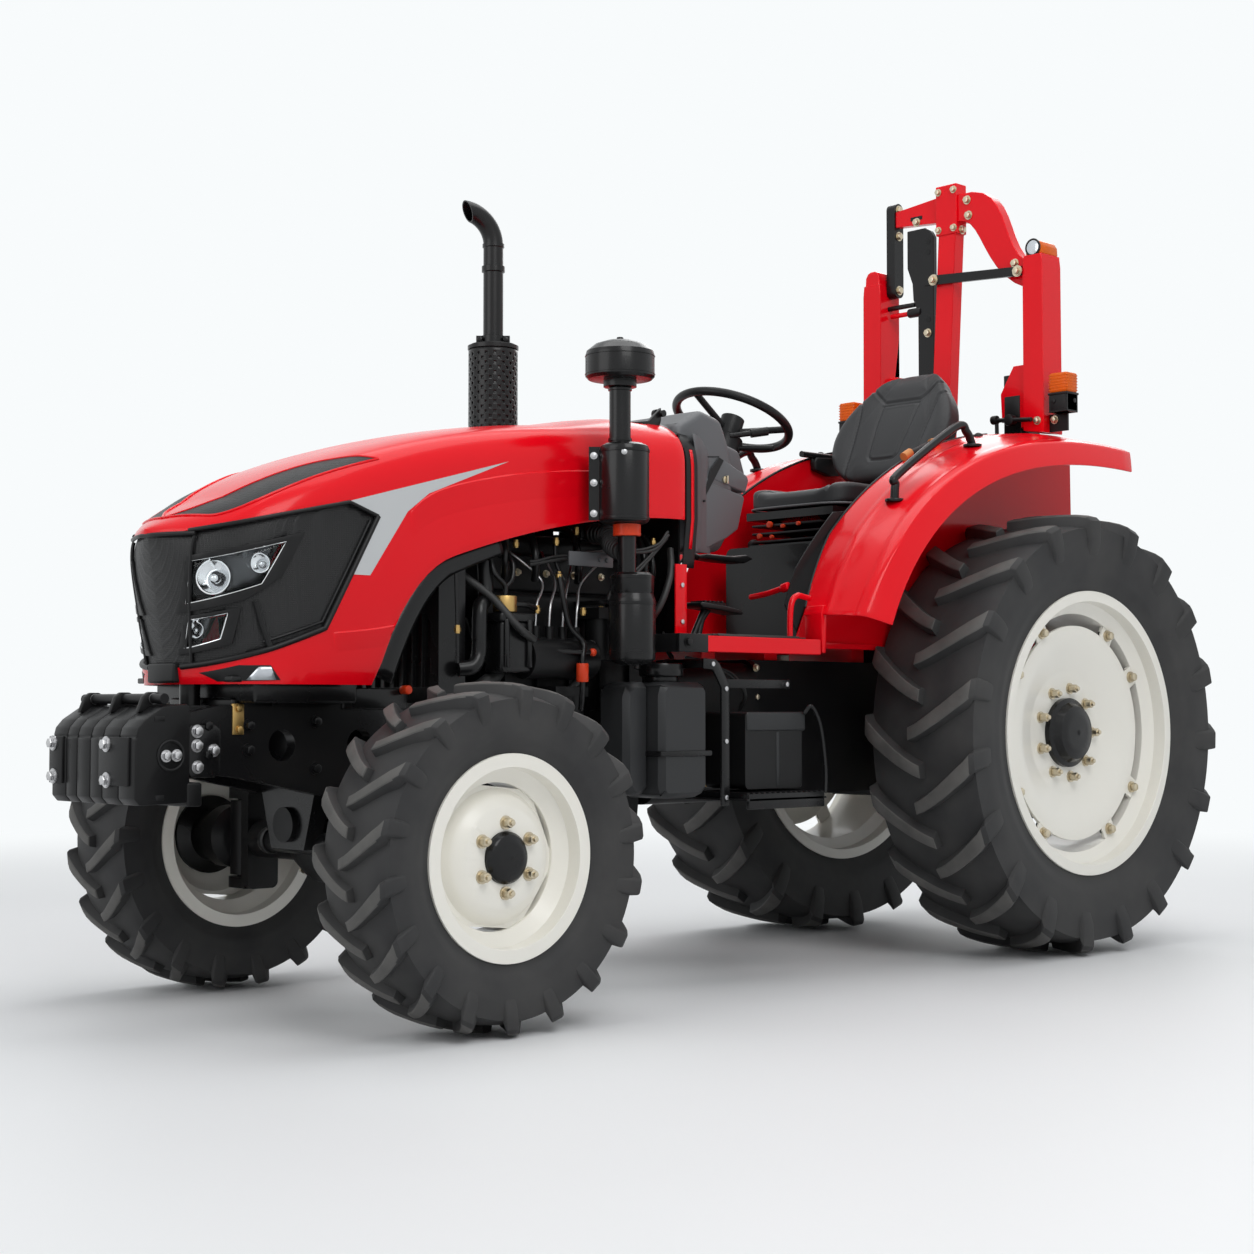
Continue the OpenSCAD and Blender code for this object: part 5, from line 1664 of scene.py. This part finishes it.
class TRACTOR_OT_engine_bay(bpy.types.Operator):
    """Hoses, fuel lines, wires, belt, covers and bolts round the engine."""

    bl_idname = "tractor.engine_bay"
    bl_label = "Engine bay"

    def execute(self, context):
        e0, e1, zf = 1480, FX - 331, FRONT_HUB.z * 1000
        self.hoses(e1)
        self.lines(e0, e1, zf)
        self.covers(e0, e1, zf)
        self.bolts(e0, e1, zf)
        self.filters()
        self.shrouds()
        return {"FINISHED"}

    def filters(self):
        """Fuel filter box, pipes with brass unions, sight glass and blank plate on the left."""
        bm = bmesh.new()
        block(bm, (2034, 205, 890), (2146, 282, 1030), 0.01, 3)
        block(bm, (2028, 199, 1026), (2152, 288, 1052), 0.008, 3)
        for x in (2050, 2130):
            disc(bm, mm(x, 284, 904), (0, 0, 1), 0.009, 0.13, 16, bevel=0.002)
        pipes = (
            (
                [
                    (2150, 214, 1190), (2152, 222, 1100), (2190, 246, 1064), (2198, 252, 1000), (2200, 252, 940),
                    (2222, 254, 906), (2262, 240, 898)
                ],
                21
            ),
            ([(2108, 250, 1098), (2108, 250, 1126), (2140, 244, 1160), (2146, 226, 1214)], 7),
            ([(2108, 250, 1120), (2080, 246, 1146), (2070, 236, 1190), (2074, 200, 1236)], 7),
            ([(2146, 262, 1070), (2060, 270, 1076), (2000, 256, 1066)], 8),
            (
                [
                    (1926, 262, 1172), (1921, 276, 1099), (1902, 282, 1021), (1868, 300, 975), (1880, 312, 930),
                    (1881, 312, 840), (1872, 296, 790)
                ],
                8
            ),
            ([(2040, 284, 958), (1960, 288, 952), (1890, 306, 948), (1848, 312, 949)], 7),
            ([(1897, 214, 1262), (1897, 220, 1200), (1880, 236, 1150)], 6),
            ([(1700, 262, 1160), (1690, 270, 1060), (1640, 280, 990), (1602, 266, 909), (1600, 262, 780)], 6),
            ([(2305, 292, 912), (2306, 292, 1010), (2306, 286, 1146)], 5),
        )
        for pts, r in pipes:
            tube(bm, smooth_path([mm(*p) for p in pts], 8), r * 0.001, 14)
        for x in (1500, 1530, 1790, 1950, 2060):
            pipe(bm, [(x, 190, 1150), (x + 18, 214, 1210), (x + 6, 170, 1290), (x - 10, 60, 1320)], 0.011, 12, n=7)
        solid("fuel_filter", bm, "black_paint", smooth=40)
        gold = bmesh.new()
        disc(gold, mm(2108, 250, 1054), (0, 0, 1), 0.033, 0.044, 32, bevel=0.003)
        for x, y, z in (
            (1897, 220, 1258), (2027, 200, 1246), (1809, 206, 1294), (1532, 232, 1277), (1835, 264, 1063),
            (1755, 250, 1070), (1602, 266, 905), (1926, 264, 1160), (1346, 262, 574), (2074, 206, 1228),
            (2000, 258, 1064), (2305, 292, 1000)
        ):
            disc(gold, mm(x, y, z - 5), (0, 0, 1), 0.0095, 0.01, 6)
            disc(gold, mm(x, y, z - 10), (0, 0, 1), 0.007, 0.022, 12)
        solid("brass_unions", gold, "brass")
        red = bmesh.new()
        bmesh.ops.create_uvsphere(
            red, u_segments=16, v_segments=12, radius=0.011, matrix=Matrix.Translation(mm(1844, 314, 949))
        )
        disc(red, mm(1881, 312, 866), (0, 0, 1), 0.017, 0.052, 20, bevel=0.003)
        disc(red, mm(FX - 70, 168, 842), (0, 1, 0), 0.012, 0.03, 16, bevel=0.003)
        solid("sight_glass", red, "signal_red", smooth=40)
        flat = bmesh.new()
        block(flat, (1736, 274, 1190), (1902, 281, 1230), 0.002)
        for x in (1760, 1786):
            disc(flat, mm(x, 281, 1210), (0, 1, 0), 0.007, 0.004, 16, bevel=0.001)
        block(flat, (1806, 200, 1200), (1836, 275, 1222), 0.002)
        solid("blank_plate", flat, "grey_plastic")

    def shrouds(self):
        """Black plates along the hood's lower edge, the far baffle and the tray under the radiator."""
        bm = bmesh.new()
        for s in (1, -1):
            rows = []
            for i in range(33):
                x = mix(2150, FX + 112, i / 32)
                z = hood_low(x) + 14
                wide = mix(52, 74, i / 32)
                slope = (hood_low(x + 2) - hood_low(x - 2)) / 4
                n = Vector((slope, -1)).normalized()
                rows.append([mm(
                    x + n.x * k * wide, s * y, max(700, z + n.y * k * wide)
                ) for k, y in ((0, 276), (0.5, 279), (0.85, 280), (1.0, 276))])
            loft(bm, rows)
        sideways(bm)
        obj = add_piece("hood_shrouds", bm, "black_paint", smooth=40)
        thicken(obj, 0.004)
        base = bmesh.new()
        block(base, (1500, -250, 1170), (2120, -244, 1400), 0.002)
        block(base, (FX + 116, -150, 772), (FX + 440, 150, 820), 0.008, 3)
        block(base, (FX + 120, -232, 806), (FX + 430, 232, 874), 0.008, 3)
        block(base, (FX - 90, 130, 790), (FX + 120, 168, 846), 0.006, 3)
        block(base, (FX - 90, -168, 790), (FX + 120, -130, 846), 0.006, 3)
        solid("radiator_tray", base, "black_paint")

    def hoses(self, e1):
        """Hoses and lines of the engine's left side."""
        bm = bmesh.new()
        paths = (
            ([(e1 + 120, 150, 1290), (e1 + 60, 190, 1300), (e1 - 40, 200, 1270), (e1 - 120, 120, 1230)], 21),
            ([(e1 + 120, 150, 850), (e1 + 60, 205, 840), (e1 - 20, 205, 880), (e1 - 60, 172, 900)], 21),
            ([(1790, 250, 980), (1830, 262, 900), (1880, 240, 830), (1900, 190, 800)], 12),
            ([(e1 - 390, 290, 1010), (e1 - 420, 320, 1060), (e1 - 470, 300, 1120), (e1 - 500, 190, 1150)], 9),
            ([(e1 - 90, 290, 980), (e1 - 30, 300, 1010), (e1 + 30, 260, 1090), (e1 + 90, 210, 1150)], 11),
            ([(1560, 190, 1010), (1540, 260, 1080), (1500, 270, 1180), (1470, 240, 1260)], 10),
            ([(1620, 190, 980), (1640, 280, 1010), (1650, 300, 950), (1660, 300, 905)], 11),
        )
        for pts, r in paths:
            tube(bm, smooth_path([mm(*p) for p in pts], 9), r * 0.001, 16)
        for pts, r in paths[:2]:
            for k in (0, -1):
                c = mm(*pts[k])
                d = (mm(*pts[1 if k == 0 else -2]) - c).normalized()
                disc(bm, c + d * 0.012, d, (r + 3) * 0.001, 0.014, 24, bevel=0.001)
        solid("engine_hoses", bm, "hose_rubber", smooth=45)

    def lines(self, e0, e1, zf):
        """Steel injection lines and thin wires."""
        bm = bmesh.new()
        for i in range(4):
            x = e1 - 285 + i * 50
            top = mm(e0 + 130 + i * 120, 110, zf + 800)
            tube(
                bm,
                smooth_path(
                    [
                        mm(x, 244, zf + 588), mm(x - 6, 244, zf + 650), mm(x - 60, 200, zf + 720),
                        top + Vector((0.03, 0.03, 0)), top
                    ],
                    9
                ),
                0.004, 8
            )
        solid("injection_lines", bm, "bare_steel", smooth=50)
        wires = bmesh.new()
        runs = (
            [(1500, 262, 1300), (1560, 250, 1250), (1700, 215, 1240), (1860, 230, 1215), (2000, 225, 1190)],
            [(1500, 255, 1290), (1600, 240, 1190), (1700, 230, 1120), (1740, 260, 1040)],
            [(1460, 200, 1010), (1480, 240, 960), (1500, 280, 930), (1560, 300, 920)],
            [(1240, 300, 790), (1250, 330, 840), (1300, 300, 900), (1400, 230, 940)],
        )
        for pts in runs:
            path = smooth_path([mm(*p) for p in pts], 8)
            tube(wires, path, 0.006, 8)
            tube(
                wires, [p + Vector((0.004, 0.004, 0.008 + 0.002 * math.sin(i))) for i, p in enumerate(path)], 0.004, 8
            )
        solid("engine_wires", wires, "hose_rubber", smooth=50)

    def covers(self, e0, e1, zf):
        """Rocker cover ribs, side covers, belt and oil filler."""
        bm = bmesh.new()
        for i in range(6):
            x = e0 + 90 + i * (e1 - e0 - 180) / 5
            block(bm, (x - 7, -70, zf + 856), (x + 7, 70, zf + 866), 0.003)
        disc(bm, mm(e0 + 170, 0, zf + 858), (0, 0, 1), 0.034, 0.03, 10, bevel=0.004)
        for x0, x1, z0, z1 in ((e0 + 40, e0 + 220, zf + 230, zf + 420), (e0 + 260, e0 + 330, zf + 230, zf + 300)):
            block(bm, (x0, 168, z0), (x1, 190, z1), 0.008, 3)
        solid("engine_covers", bm, "cast_black")
        loop = bmesh.new()
        pts = []
        for i in range(25):
            a = math.pi * (1 + i / 24)
            pts.append(mm(e1 + 30, 95 * math.cos(a), zf + 400 + 95 * math.sin(a)))
        for i in range(25):
            a = math.pi * i / 24
            pts.append(mm(e1 + 30, 63 * math.cos(a), zf + 620 + 63 * math.sin(a)))
        tube(loop, pts + pts[:1], 0.007, 6, cap=False)
        outward(loop)
        add_piece("fan_belt", loop, "hose_rubber", smooth=40)

    def bolts(self, e0, e1, zf):
        """Bolts of the engine and frame."""
        bm = bmesh.new()
        dark = bmesh.new()
        for s in (1, -1):
            for i in range(8):
                x = mix(e0 + 45, e1 - 40, i / 7)
                bolt(bm, mm(x, s * 194, zf + 168), (0, s, 0), 0.009, 0.012)
            for i in range(6):
                x = mix(e0 + 60, e1 - 60, i / 5)
                bolt(bm, mm(x, s * 130, zf + 745), (0, s, 0), 0.008, 0.012)
            for x in (343, 1041):
                for k in range(5):
                    bolt(bm, mm(x, s * 178, mix(560, 920, k / 4)), (0, s, 0), 0.009, 0.012)
            for x, z in (
                (FX - 250, 640), (FX - 250, 740), (FX + 200, 640), (FX + 200, 760), (FX + 400, 690), (FX + 400, 750),
                (FX + 520, 680), (FX + 520, 750)
            ):
                bolt(dark, mm(x, s * 160, z), (0, s, 0), 0.012, 0.016)
        solid("frame_bolts", dark, "black_paint")
        solid("chassis_bolts", bm, "zinc_bolts")


class TRACTOR_OT_front_end(bpy.types.Operator):
    """Weight slabs with their bolts, brackets, steering cylinder and axle hoses."""

    bl_idname = "tractor.front_end"
    bl_label = "Front end"

    def execute(self, context):
        self.weights()
        self.brackets()
        self.axle(FRONT_HUB.z * 1000)
        return {"FINISHED"}

    def weights(self):
        """Cast slabs side by side, carrier plate, clamp bars and hand bar."""
        front = FX + 739
        bm = bmesh.new()
        slab = [
            (-149, 566), (-14, 562), (0, 578), (0, 719), (-5, 723), (-3, 728), (-8, 746), (-26, 766), (-75, 797),
            (-140, 803), (-149, 796)
        ]
        cuts = (-203, -131, -77, -12, 47, 124, 203)
        for a, b in zip(cuts, cuts[1:]):
            plate(bm, [mm(front + x, a + 1, z) for x, z in slab], (0, (b - a - 2) * 0.001, 0), 0.0035, 2)
        block(bm, (front - 164, -169, 591), (front - 146, 169, 791), 0.004)
        block(bm, (front - 182, -205, 556), (front - 140, 205, 614), 0.006, 3)
        for y0, y1 in ((-206, -140), (41, 180)):
            block(bm, (front - 4, y0, 608), (front + 7, y1, 724), 0.003, 2)
        for y in (-150, 0, 132):
            plate(
                bm,
                [mm(front + x, y - 8, z) for x, z in (
                    (-124, 794), (-112, 824), (-96, 832), (-72, 832), (-58, 822), (-42, 782)
                )],
                (0, 0.016, 0), 0.003, 2
            )
        rod(bm, [(front - 84, -192, 816), (front - 84, 192, 816)], 0.0125, 20)
        solid("weight_slabs", bm, "cast_black", ("front_weights",))
        nuts = bmesh.new()
        for y, z in ((-182, 707), (-180, 625), (81, 707), (83, 621)):
            disc(nuts, mm(front + 7, y, z), (1, 0, 0), 0.019, 0.003, 24)
            bolt(nuts, mm(front + 10, y, z), (1, 0, 0), 0.0125, 0.012)
        for s in (1, -1):
            for x, z, r in ((-82, 679, 11), (-110, 680, 11), (-84, 816, 10)):
                bolt(nuts, mm(front + x, s * (204 if z < 800 else 141), z), (0, s, 0), r * 0.001, 0.012)
        solid("weight_bolts", nuts, "bare_steel")
        slots = bmesh.new()
        for s in (1, -1):
            for x0, x1, z in ((-79, -51, 768), (-79, -55, 580)):
                block(slots, (front + x0, s * 200, z - 6), (front + x1, s * 203.6, z + 6), 0.001)
            m = mm(front - 96, s * 203, 680)
            prof = [(0.038, -0.004), (0.038, 0.002), (0.035, 0.003), (0.032, 0.002), (0.032, -0.004)]
            spin(slots, [m + Vector((r, s * k, 0)) for r, k in prof], m, (0, 1, 0), steps=48)
        solid("weight_slots", slots, "black_plastic")

    def brackets(self):
        """Tow plate of the frame and the brass bracket behind it."""
        bm = bmesh.new()
        nuts = bmesh.new()
        br = bmesh.new()
        for s in (1, -1):
            lo, hi = sorted((s * 158, s * 172))
            slab(
                bm,
                (
                    (2947, 640), (2960, 624), (3030, 624), (3036, 640), (3036, 745), (3028, 752), (2960, 752),
                    (2947, 740)
                ),
                lo, (hi - lo) * 0.001, 0.003, 2
            )
            for x, z in ((3015, 737), (3015, 702), (3013, 650), (2968, 690)):
                bolt(nuts, mm(x, s * 172, z), (0, s, 0), 0.012, 0.014)
            lo, hi = sorted((s * 152, s * 163))
            slab(br, ((2874, 727), (2908, 727), (2908, 805), (2874, 805)), lo, (hi - lo) * 0.001, 0.003, 2)
            for x, z in ((2891, 793), (2889, 740)):
                disc(br, mm(x, s * 163, z), (0, s, 0), 0.009, 0.007, 16, bevel=0.001)
        solid("tow_plates", bm, "black_paint")
        solid("tow_plate_bolts", nuts, "bare_steel")
        solid("frame_bracket", br, "brass")

    def axle(self, zf):
        """Small parts of the front axle."""
        bm = bmesh.new()
        for s in (1, -1):
            for i in range(8):
                a = i * math.tau / 8
                bolt(bm, mm(FX + 96 * math.cos(a), s * 80, zf + 96 * math.sin(a)), (0, s, 0), 0.007, 0.012)
            for z in (-132, 132):
                for dx in (-30, 30):
                    bolt(bm, mm(FX + dx, s * 400, zf + z * 0.75), (0, -s, 0), 0.009, 0.012)
        solid("axle_bolts", bm, "zinc_bolts")
        cyl = bmesh.new()
        disc(cyl, mm(FX + 118, -170, zf + 10), (0, 1, 0), 0.03, 0.34, 32, bevel=0.004)
        for y in (-176, 150):
            disc(cyl, mm(FX + 118, y, zf + 10), (0, 1, 0), 0.036, 0.026, 32, bevel=0.004)
        for y in (-120, 100):
            block(cyl, (FX + 60, y, zf - 14), (FX + 118, y + 22, zf + 34), 0.003)
        for y in (-160, 163):
            pipe(
                cyl,
                [
                    (FX + 118, y, zf + 44), (FX + 122, y, zf + 90), (FX + 60, y * 0.6, zf + 140),
                    (FX - 40, y * 0.6, zf + 150)
                ],
                0.008, 12, n=9
            )
        solid("steering_cylinder", cyl, "black_paint", smooth=40)


class TRACTOR_OT_side_boxes(bpy.types.Operator):
    """Straps, ribs, caps and step treads of the tank, battery box and tool box."""

    bl_idname = "tractor.side_boxes"
    bl_label = "Side boxes"

    def execute(self, context):
        bm = bmesh.new()
        face = [
            (1502, 566), (1534, 543), (1672, 541), (1690, 560), (1690, 846), (1672, 868), (1520, 868), (1502, 846)
        ]
        slab(bm, face, 252, 0.178, 0.016, 1)
        slab(bm, ((1680, 560), (1740, 545), (1772, 580), (1772, 840), (1745, 868), (1680, 868)), 252, 0.12, 0.016, 1)
        block(bm, (1103, 252, 560), (1344, 428, 734), 0.008, 3)
        block(bm, (1097, 248, 728), (1350, 435, 784), 0.007, 3)
        block(bm, (1112, -418, 600), (1408, -252, 770), 0.008, 3)
        block(bm, (1105, -428, 764), (1415, -248, 822), 0.007, 3)
        for s, x in ((1, 1216), (-1, 1260)):
            block(
                bm, (x - 7, s * 415, 566 if s > 0 else 606),
                (x + 7, s * (432 if s > 0 else 424), 726 if s > 0 else 760), 0.003
            )
        solid("side_boxes", bm, "box_plastic", ("fuel_tank",))
        trim = bmesh.new()
        block(trim, (1494, 256, 659), (1698, 436, 675), 0.004)
        block(trim, (1500, 204, 750), (1760, 256, 790), 0.004)
        disc(trim, mm(1608, 344, 866), (0, 0, 1), 0.05, 0.02, 32, bevel=0.003)
        disc(trim, mm(1608, 344, 884), (0, 0, 1), 0.064, 0.038, 32, bevel=0.006)
        guard = [
            (1540, 936), (1492, 934), (1474, 922), (1434, 862), (1434, 516), (1466, 516), (1466, 852), (1500, 904),
            (1540, 906)
        ]
        slab(trim, guard, 437, 0.008, 0.002)
        block(trim, (1168, 429, 852), (1440, 437, 878), 0.002)
        block(trim, (1532, 250, 908), (1540, 444, 934), 0.002)
        for s in (1, -1):
            block(trim, (1088, s * 488, 506), (1412, s * 500, 550), 0.003)
            for i in range(15):
                x = mix(1092, 1408, i / 14)
                block(trim, (x - 5, s * 262, 535), (x + 5, s * 496, 553), 0.002, 1)
        pipe(
            trim, [(1110, 440, 780), (1090, 452, 800), (1060, 460, 740), (1050, 470, 620), (1062, 480, 545)], 0.006,
            10
        )
        solid("side_box_trim", trim, "black_paint")
        nuts = bmesh.new()
        for x, z in ((1504, 920), (1450, 850), (1450, 700), (1450, 540), (1184, 865)):
            disc(nuts, mm(x, 445 if x > 1200 else 437, z), (0, 1, 0), 0.007, 0.005, 16, bevel=0.001)
        solid("side_box_bolts", nuts, "bare_steel")
        return {"FINISHED"}


class TRACTOR_OT_roll_frame(bpy.types.Operator):
    """Bolts of posts, mast and links, clamp rod, gusset plates and lamp lenses."""

    bl_idname = "tractor.roll_frame"
    bl_label = "Roll frame"

    def execute(self, context):
        mast, post = 2680, 2415
        bm = bmesh.new()
        for s in (1, -1):
            for z in (1800, 1860, 1920, 1980):
                bolt(bm, mm(-245, s * 290, z), (0, -s, 0), 0.011, 0.014)
            for y, z in ((376, 1784), (424, 1785)):
                bolt(bm, mm(-165 if y < 402 else -198, s * y, z), (1, 0, 0), 0.011, 0.013)
        for y, z in ((63, mast - 69), (69, mast - 125), (268, mast - 330)):
            bolt(bm, mm(-192, y, z), (1, 0, 0), 0.012, 0.014)
        for y, z in ((-60, mast - 22), (8, mast - 22), (-60, mast - 160), (8, mast - 160)):
            bolt(bm, mm(-184, y, z), (1, 0, 0), 0.01, 0.012)
        bolt(bm, mm(-214, 20, mast - 166), (0, 1, 0), 0.012, 0.014)
        bolt(bm, mm(-206, -177, mast - 106), (1, 0, 0), 0.012, 0.014)
        for z in (mast - 40, mast - 138, mast - 340):
            bolt(bm, mm(-225, -277, z), (0, 1, 0), 0.013, 0.012)
            bolt(bm, mm(-225, -315, z), (0, -1, 0), 0.013, 0.012)
        for y, z in ((-66, mast - 342), (301, mast - 367)):
            disc(bm, mm(-161, y, z), (1, 0, 0), 0.02, 0.004, 24)
            bolt(bm, mm(-157, y, z), (1, 0, 0), 0.0125, 0.014)
        for z in (mast - 520, mast - 700):
            bolt(bm, mm(-206, -128, z), (1, 0, 0), 0.012, 0.014)
        solid("roll_frame_bolts", bm, "zinc_bolts")
        self.fittings(mast)
        self.lamps(post)
        return {"FINISHED"}

    def fittings(self, mast):
        """Slot and holes of the mast, stop pin, clamp rod and gusset plates."""
        dark = bmesh.new()
        block(dark, (-207, -206, mast - 98), (-205, -152, mast - 84), 0.0005, 1)
        for y, z in ((-126, mast - 184), (-126, mast - 223), (-126, mast - 470)):
            disc(dark, mm(-207, y, z), (1, 0, 0), 0.0105, 0.002, 20)
        disc(dark, mm(-216, -222, mast - 435), (0, 1, 0), 0.017, 0.06, 24, bevel=0.003)
        for s in (1, -1):
            rod(dark, [(-150, s * 206, 1800), (-150, s * 362, 1788)], 0.008, 14)
            disc(dark, mm(-150, s * 196, 1801), (0, s, 0), 0.016, 0.024, 20, bevel=0.004)
            disc(dark, mm(-172, s * 269, 1795), (1, 0, 0), 0.02, 0.03, 24, bevel=0.003)
            rod(dark, [(-152, s * 214, 1800), (-152, s * 215, 1746)], 0.007, 12)
            block(dark, (-189, s * 224, 1802), (-182, s * 290, 1884), 0.004)
        solid("roll_frame_fittings", dark, "black_plastic", smooth=40)
        red = bmesh.new()
        rod(red, [(-216, -306, mast - 435), (-216, -216, mast - 435)], 0.009, 16)
        for s in (1, -1):
            plate(
                red,
                [mm(-190, s * y, z) for y, z in (
                    (207, 1895), (262, 1988), (318, 1988), (318, 1800), (300, 1794), (212, 1794)
                )],
                (0.005, 0, 0), 0.0012, 1
            )
        solid("roll_frame_gussets", red, "red_paint", smooth=40)

    def lamps(self, post):
        """Ribbed amber lenses on black bases, and the lamp that ends the left post."""
        lens = bmesh.new()
        base = bmesh.new()
        for s in (1, -1):
            lo, hi = sorted((s * 434, s * 507))
            block(lens, (-214, lo, 1868), (-150, hi, 1938), 0.007, 3)
            for i in range(6):
                z = mix(1878, 1928, i / 5)
                block(lens, (-213, lo - 0.8, z - 2), (-149.2, hi + 0.8, z + 2), 0.0008, 1)
            block(base, (-214, lo, 1803), (-150, hi, 1868), 0.006, 3)
            block(base, (-217, lo - 3, 1862), (-147, hi + 3, 1870), 0.002)
            disc(base, mm(-150, s * 453, 1841), (1, 0, 0), 0.008, 0.003, 16, bevel=0.001)
            disc(base, mm(-193, s * 507, 1842), (0, s, 0), 0.008, 0.003, 16, bevel=0.001)
        cap = [(326, -51), (392, -51), (390, -22), (380, -6), (366, 0), (348, 0), (334, -6), (327, -24)]
        plate(lens, [mm(-271, y, post + z) for y, z in cap], (0.098, 0, 0), 0.004, 3)
        solid("turn_lamp_lenses", lens, "amber_lens", ("turn_lamps",), smooth=40)
        mid = mm(-174, 359, post - 27)
        rim = [(30, 0), (31, 6), (27, 8), (24, 6), (24, 1)]
        spin(base, [mid + Vector((k, r, 0)) * 0.001 for r, k in rim], mid, (1, 0, 0), steps=40)
        solid("turn_lamp_bases", base, "black_plastic", smooth=40)
        front = bmesh.new()
        disc(front, mid + Vector((0.001, 0, 0)), (1, 0, 0), 0.025, 0.006, 32, bevel=0.003)
        solid("post_lamp_front", front, "lamp_glass", smooth=40)


# stage


LAMPS = (
    ("key", (2.6, 5.6, 5.6), 3.6, 190),
    ("fill", (6.8, -0.6, 3.6), 4.0, 85),
    ("rim", (-5.5, -3.0, 5.5), 4.0, 120),
    ("top", (-0.2, 0.2, 6.5), 5.0, 150),
)


class TRACTOR_OT_stage(bpy.types.Operator):
    """Camera at the photograph's angle, soft lights, pale floor and white surround."""

    bl_idname = "tractor.stage"
    bl_label = "Stage"

    def execute(self, context):
        scene = context.scene
        scene.view_settings.view_transform = "Standard"
        cam = bpy.data.cameras.new("view")
        cam.sensor_width = 36
        cam.lens = 59.0
        cam.clip_end = 100
        obj = bpy.data.objects.new("view", cam)
        scene.collection.objects.link(obj)
        look = Vector((-0.68487, -0.72750, 0.04108))
        obj.location = (4.602, 4.526, 0.785)
        obj.rotation_euler = look.to_track_quat("-Z", "Y").to_euler()
        scene.camera = obj
        self.floor()
        self.world(scene)
        for nm, place, size, power in LAMPS:
            light = bpy.data.lights.new(nm, "AREA")
            light.energy = power
            light.size = size
            lamp = bpy.data.objects.new(nm, light)
            lamp.location = place
            lamp.rotation_euler = (Vector((0, 0, 0.8)) - Vector(place)).to_track_quat("-Z", "Y").to_euler()
            scene.collection.objects.link(lamp)
        return {"FINISHED"}

    def floor(self):
        """The ground the tractor stands on."""
        bm = bmesh.new()
        bmesh.ops.create_grid(bm, x_segments=4, y_segments=4, size=30.0)
        mesh = bpy.data.meshes.new("floor")
        bm.to_mesh(mesh)
        bm.free()
        obj = bpy.data.objects.new("floor", mesh)
        bpy.context.scene.collection.objects.link(obj)
        obj.data.materials.append(self.floor_finish())

    def floor_finish(self):
        """Pale floor that keeps the shadow near the tractor and fades into the white surround."""
        m = finish("pale_floor")
        t = m.node_tree
        far = put(t, "ShaderNodeVectorMath", operation="LENGTH")
        fade = put(t, "ShaderNodeMapRange", {"From Min": 2.6, "From Max": 8.0}, interpolation_type="SMOOTHSTEP")
        both = put(t, "ShaderNodeMath", operation="MULTIPLY")
        white = put(t, "ShaderNodeEmission", {"Color": SURROUND})
        wire(
            t,
            (put(t, "ShaderNodeTexCoord").outputs["Object"], far.inputs[0]),
            (far.outputs["Value"], fade.inputs["Value"]),
            (fade.outputs["Result"], both.inputs[0]),
            (self.seen(t), both.inputs[1]),
        )
        self.choose(t, both.outputs[0], t.nodes["Principled BSDF"], white, "Material Output")
        return m

    def seen(self, t):
        """One for rays that show the surround: camera, glossy and transmission rays."""
        path = put(t, "ShaderNodeLightPath").outputs
        either = put(t, "ShaderNodeMath", operation="MAXIMUM")
        glossy = put(t, "ShaderNodeMath", operation="MAXIMUM")
        wire(
            t,
            (path["Is Camera Ray"], either.inputs[0]),
            (path["Is Glossy Ray"], glossy.inputs[0]),
            (path["Is Transmission Ray"], glossy.inputs[1]),
            (glossy.outputs[0], either.inputs[1]),
        )
        return either.outputs[0]

    def choose(self, t, factor, a, b, output):
        """Mixes two shaders into an output."""
        pick = put(t, "ShaderNodeMixShader")
        wire(
            t,
            (factor, pick.inputs["Fac"]),
            (a.outputs[0], pick.inputs[1]),
            (b.outputs[0], pick.inputs[2]),
            (pick.outputs[0], t.nodes[output].inputs["Surface"]),
        )

    def world(self, scene):
        """Soft light all round, with a white surround for the rays that show it."""
        w = bpy.data.worlds.new("surround")
        w.use_nodes = True
        t = w.node_tree
        back = t.nodes["Background"]
        fill(back, {"Color": (0.93, 0.95, 0.97, 1), "Strength": 0.42})
        white = put(t, "ShaderNodeBackground", {"Color": SURROUND, "Strength": 1.0})
        self.choose(t, self.seen(t), back, white, "World Output")
        scene.world = w


# panel and registration


class TRACTOR_PT_panel(bpy.types.Panel):
    """Lists the steps of the build."""

    bl_idname = "TRACTOR_PT_panel"
    bl_label = "Tractor"
    bl_space_type = "VIEW_3D"
    bl_region_type = "UI"
    bl_category = "Tractor"

    def draw(self, context):
        for step in STEPS:
            self.layout.operator(step.bl_idname)


STEPS = (
    TRACTOR_OT_stage, TRACTOR_OT_finishes, TRACTOR_OT_tyres, TRACTOR_OT_wheel_bolts, TRACTOR_OT_hood,
    TRACTOR_OT_fenders, TRACTOR_OT_seat, TRACTOR_OT_pipes, TRACTOR_OT_console, TRACTOR_OT_cab_floor,
    TRACTOR_OT_engine_bay, TRACTOR_OT_front_end, TRACTOR_OT_side_boxes, TRACTOR_OT_roll_frame,
)
CLASSES = (TractorSizes, TractorColours, TRACTOR_PT_panel) + STEPS


def register():
    """Adds the settings, operators and panel."""
    for c in CLASSES:
        bpy.utils.register_class(c)
    bpy.types.Scene.tractor_sizes = bpy.props.PointerProperty(type=TractorSizes)
    bpy.types.Scene.tractor_colours = bpy.props.PointerProperty(type=TractorColours)


def unregister():
    """Takes them out again."""
    del bpy.types.Scene.tractor_sizes
    del bpy.types.Scene.tractor_colours
    for c in reversed(CLASSES):
        bpy.utils.unregister_class(c)


def main():
    """Runs every step."""
    register()
    for step in STEPS:
        group, name = step.bl_idname.split(".")
        getattr(getattr(bpy.ops, group), name)()


if __name__ == "__main__":
    main()
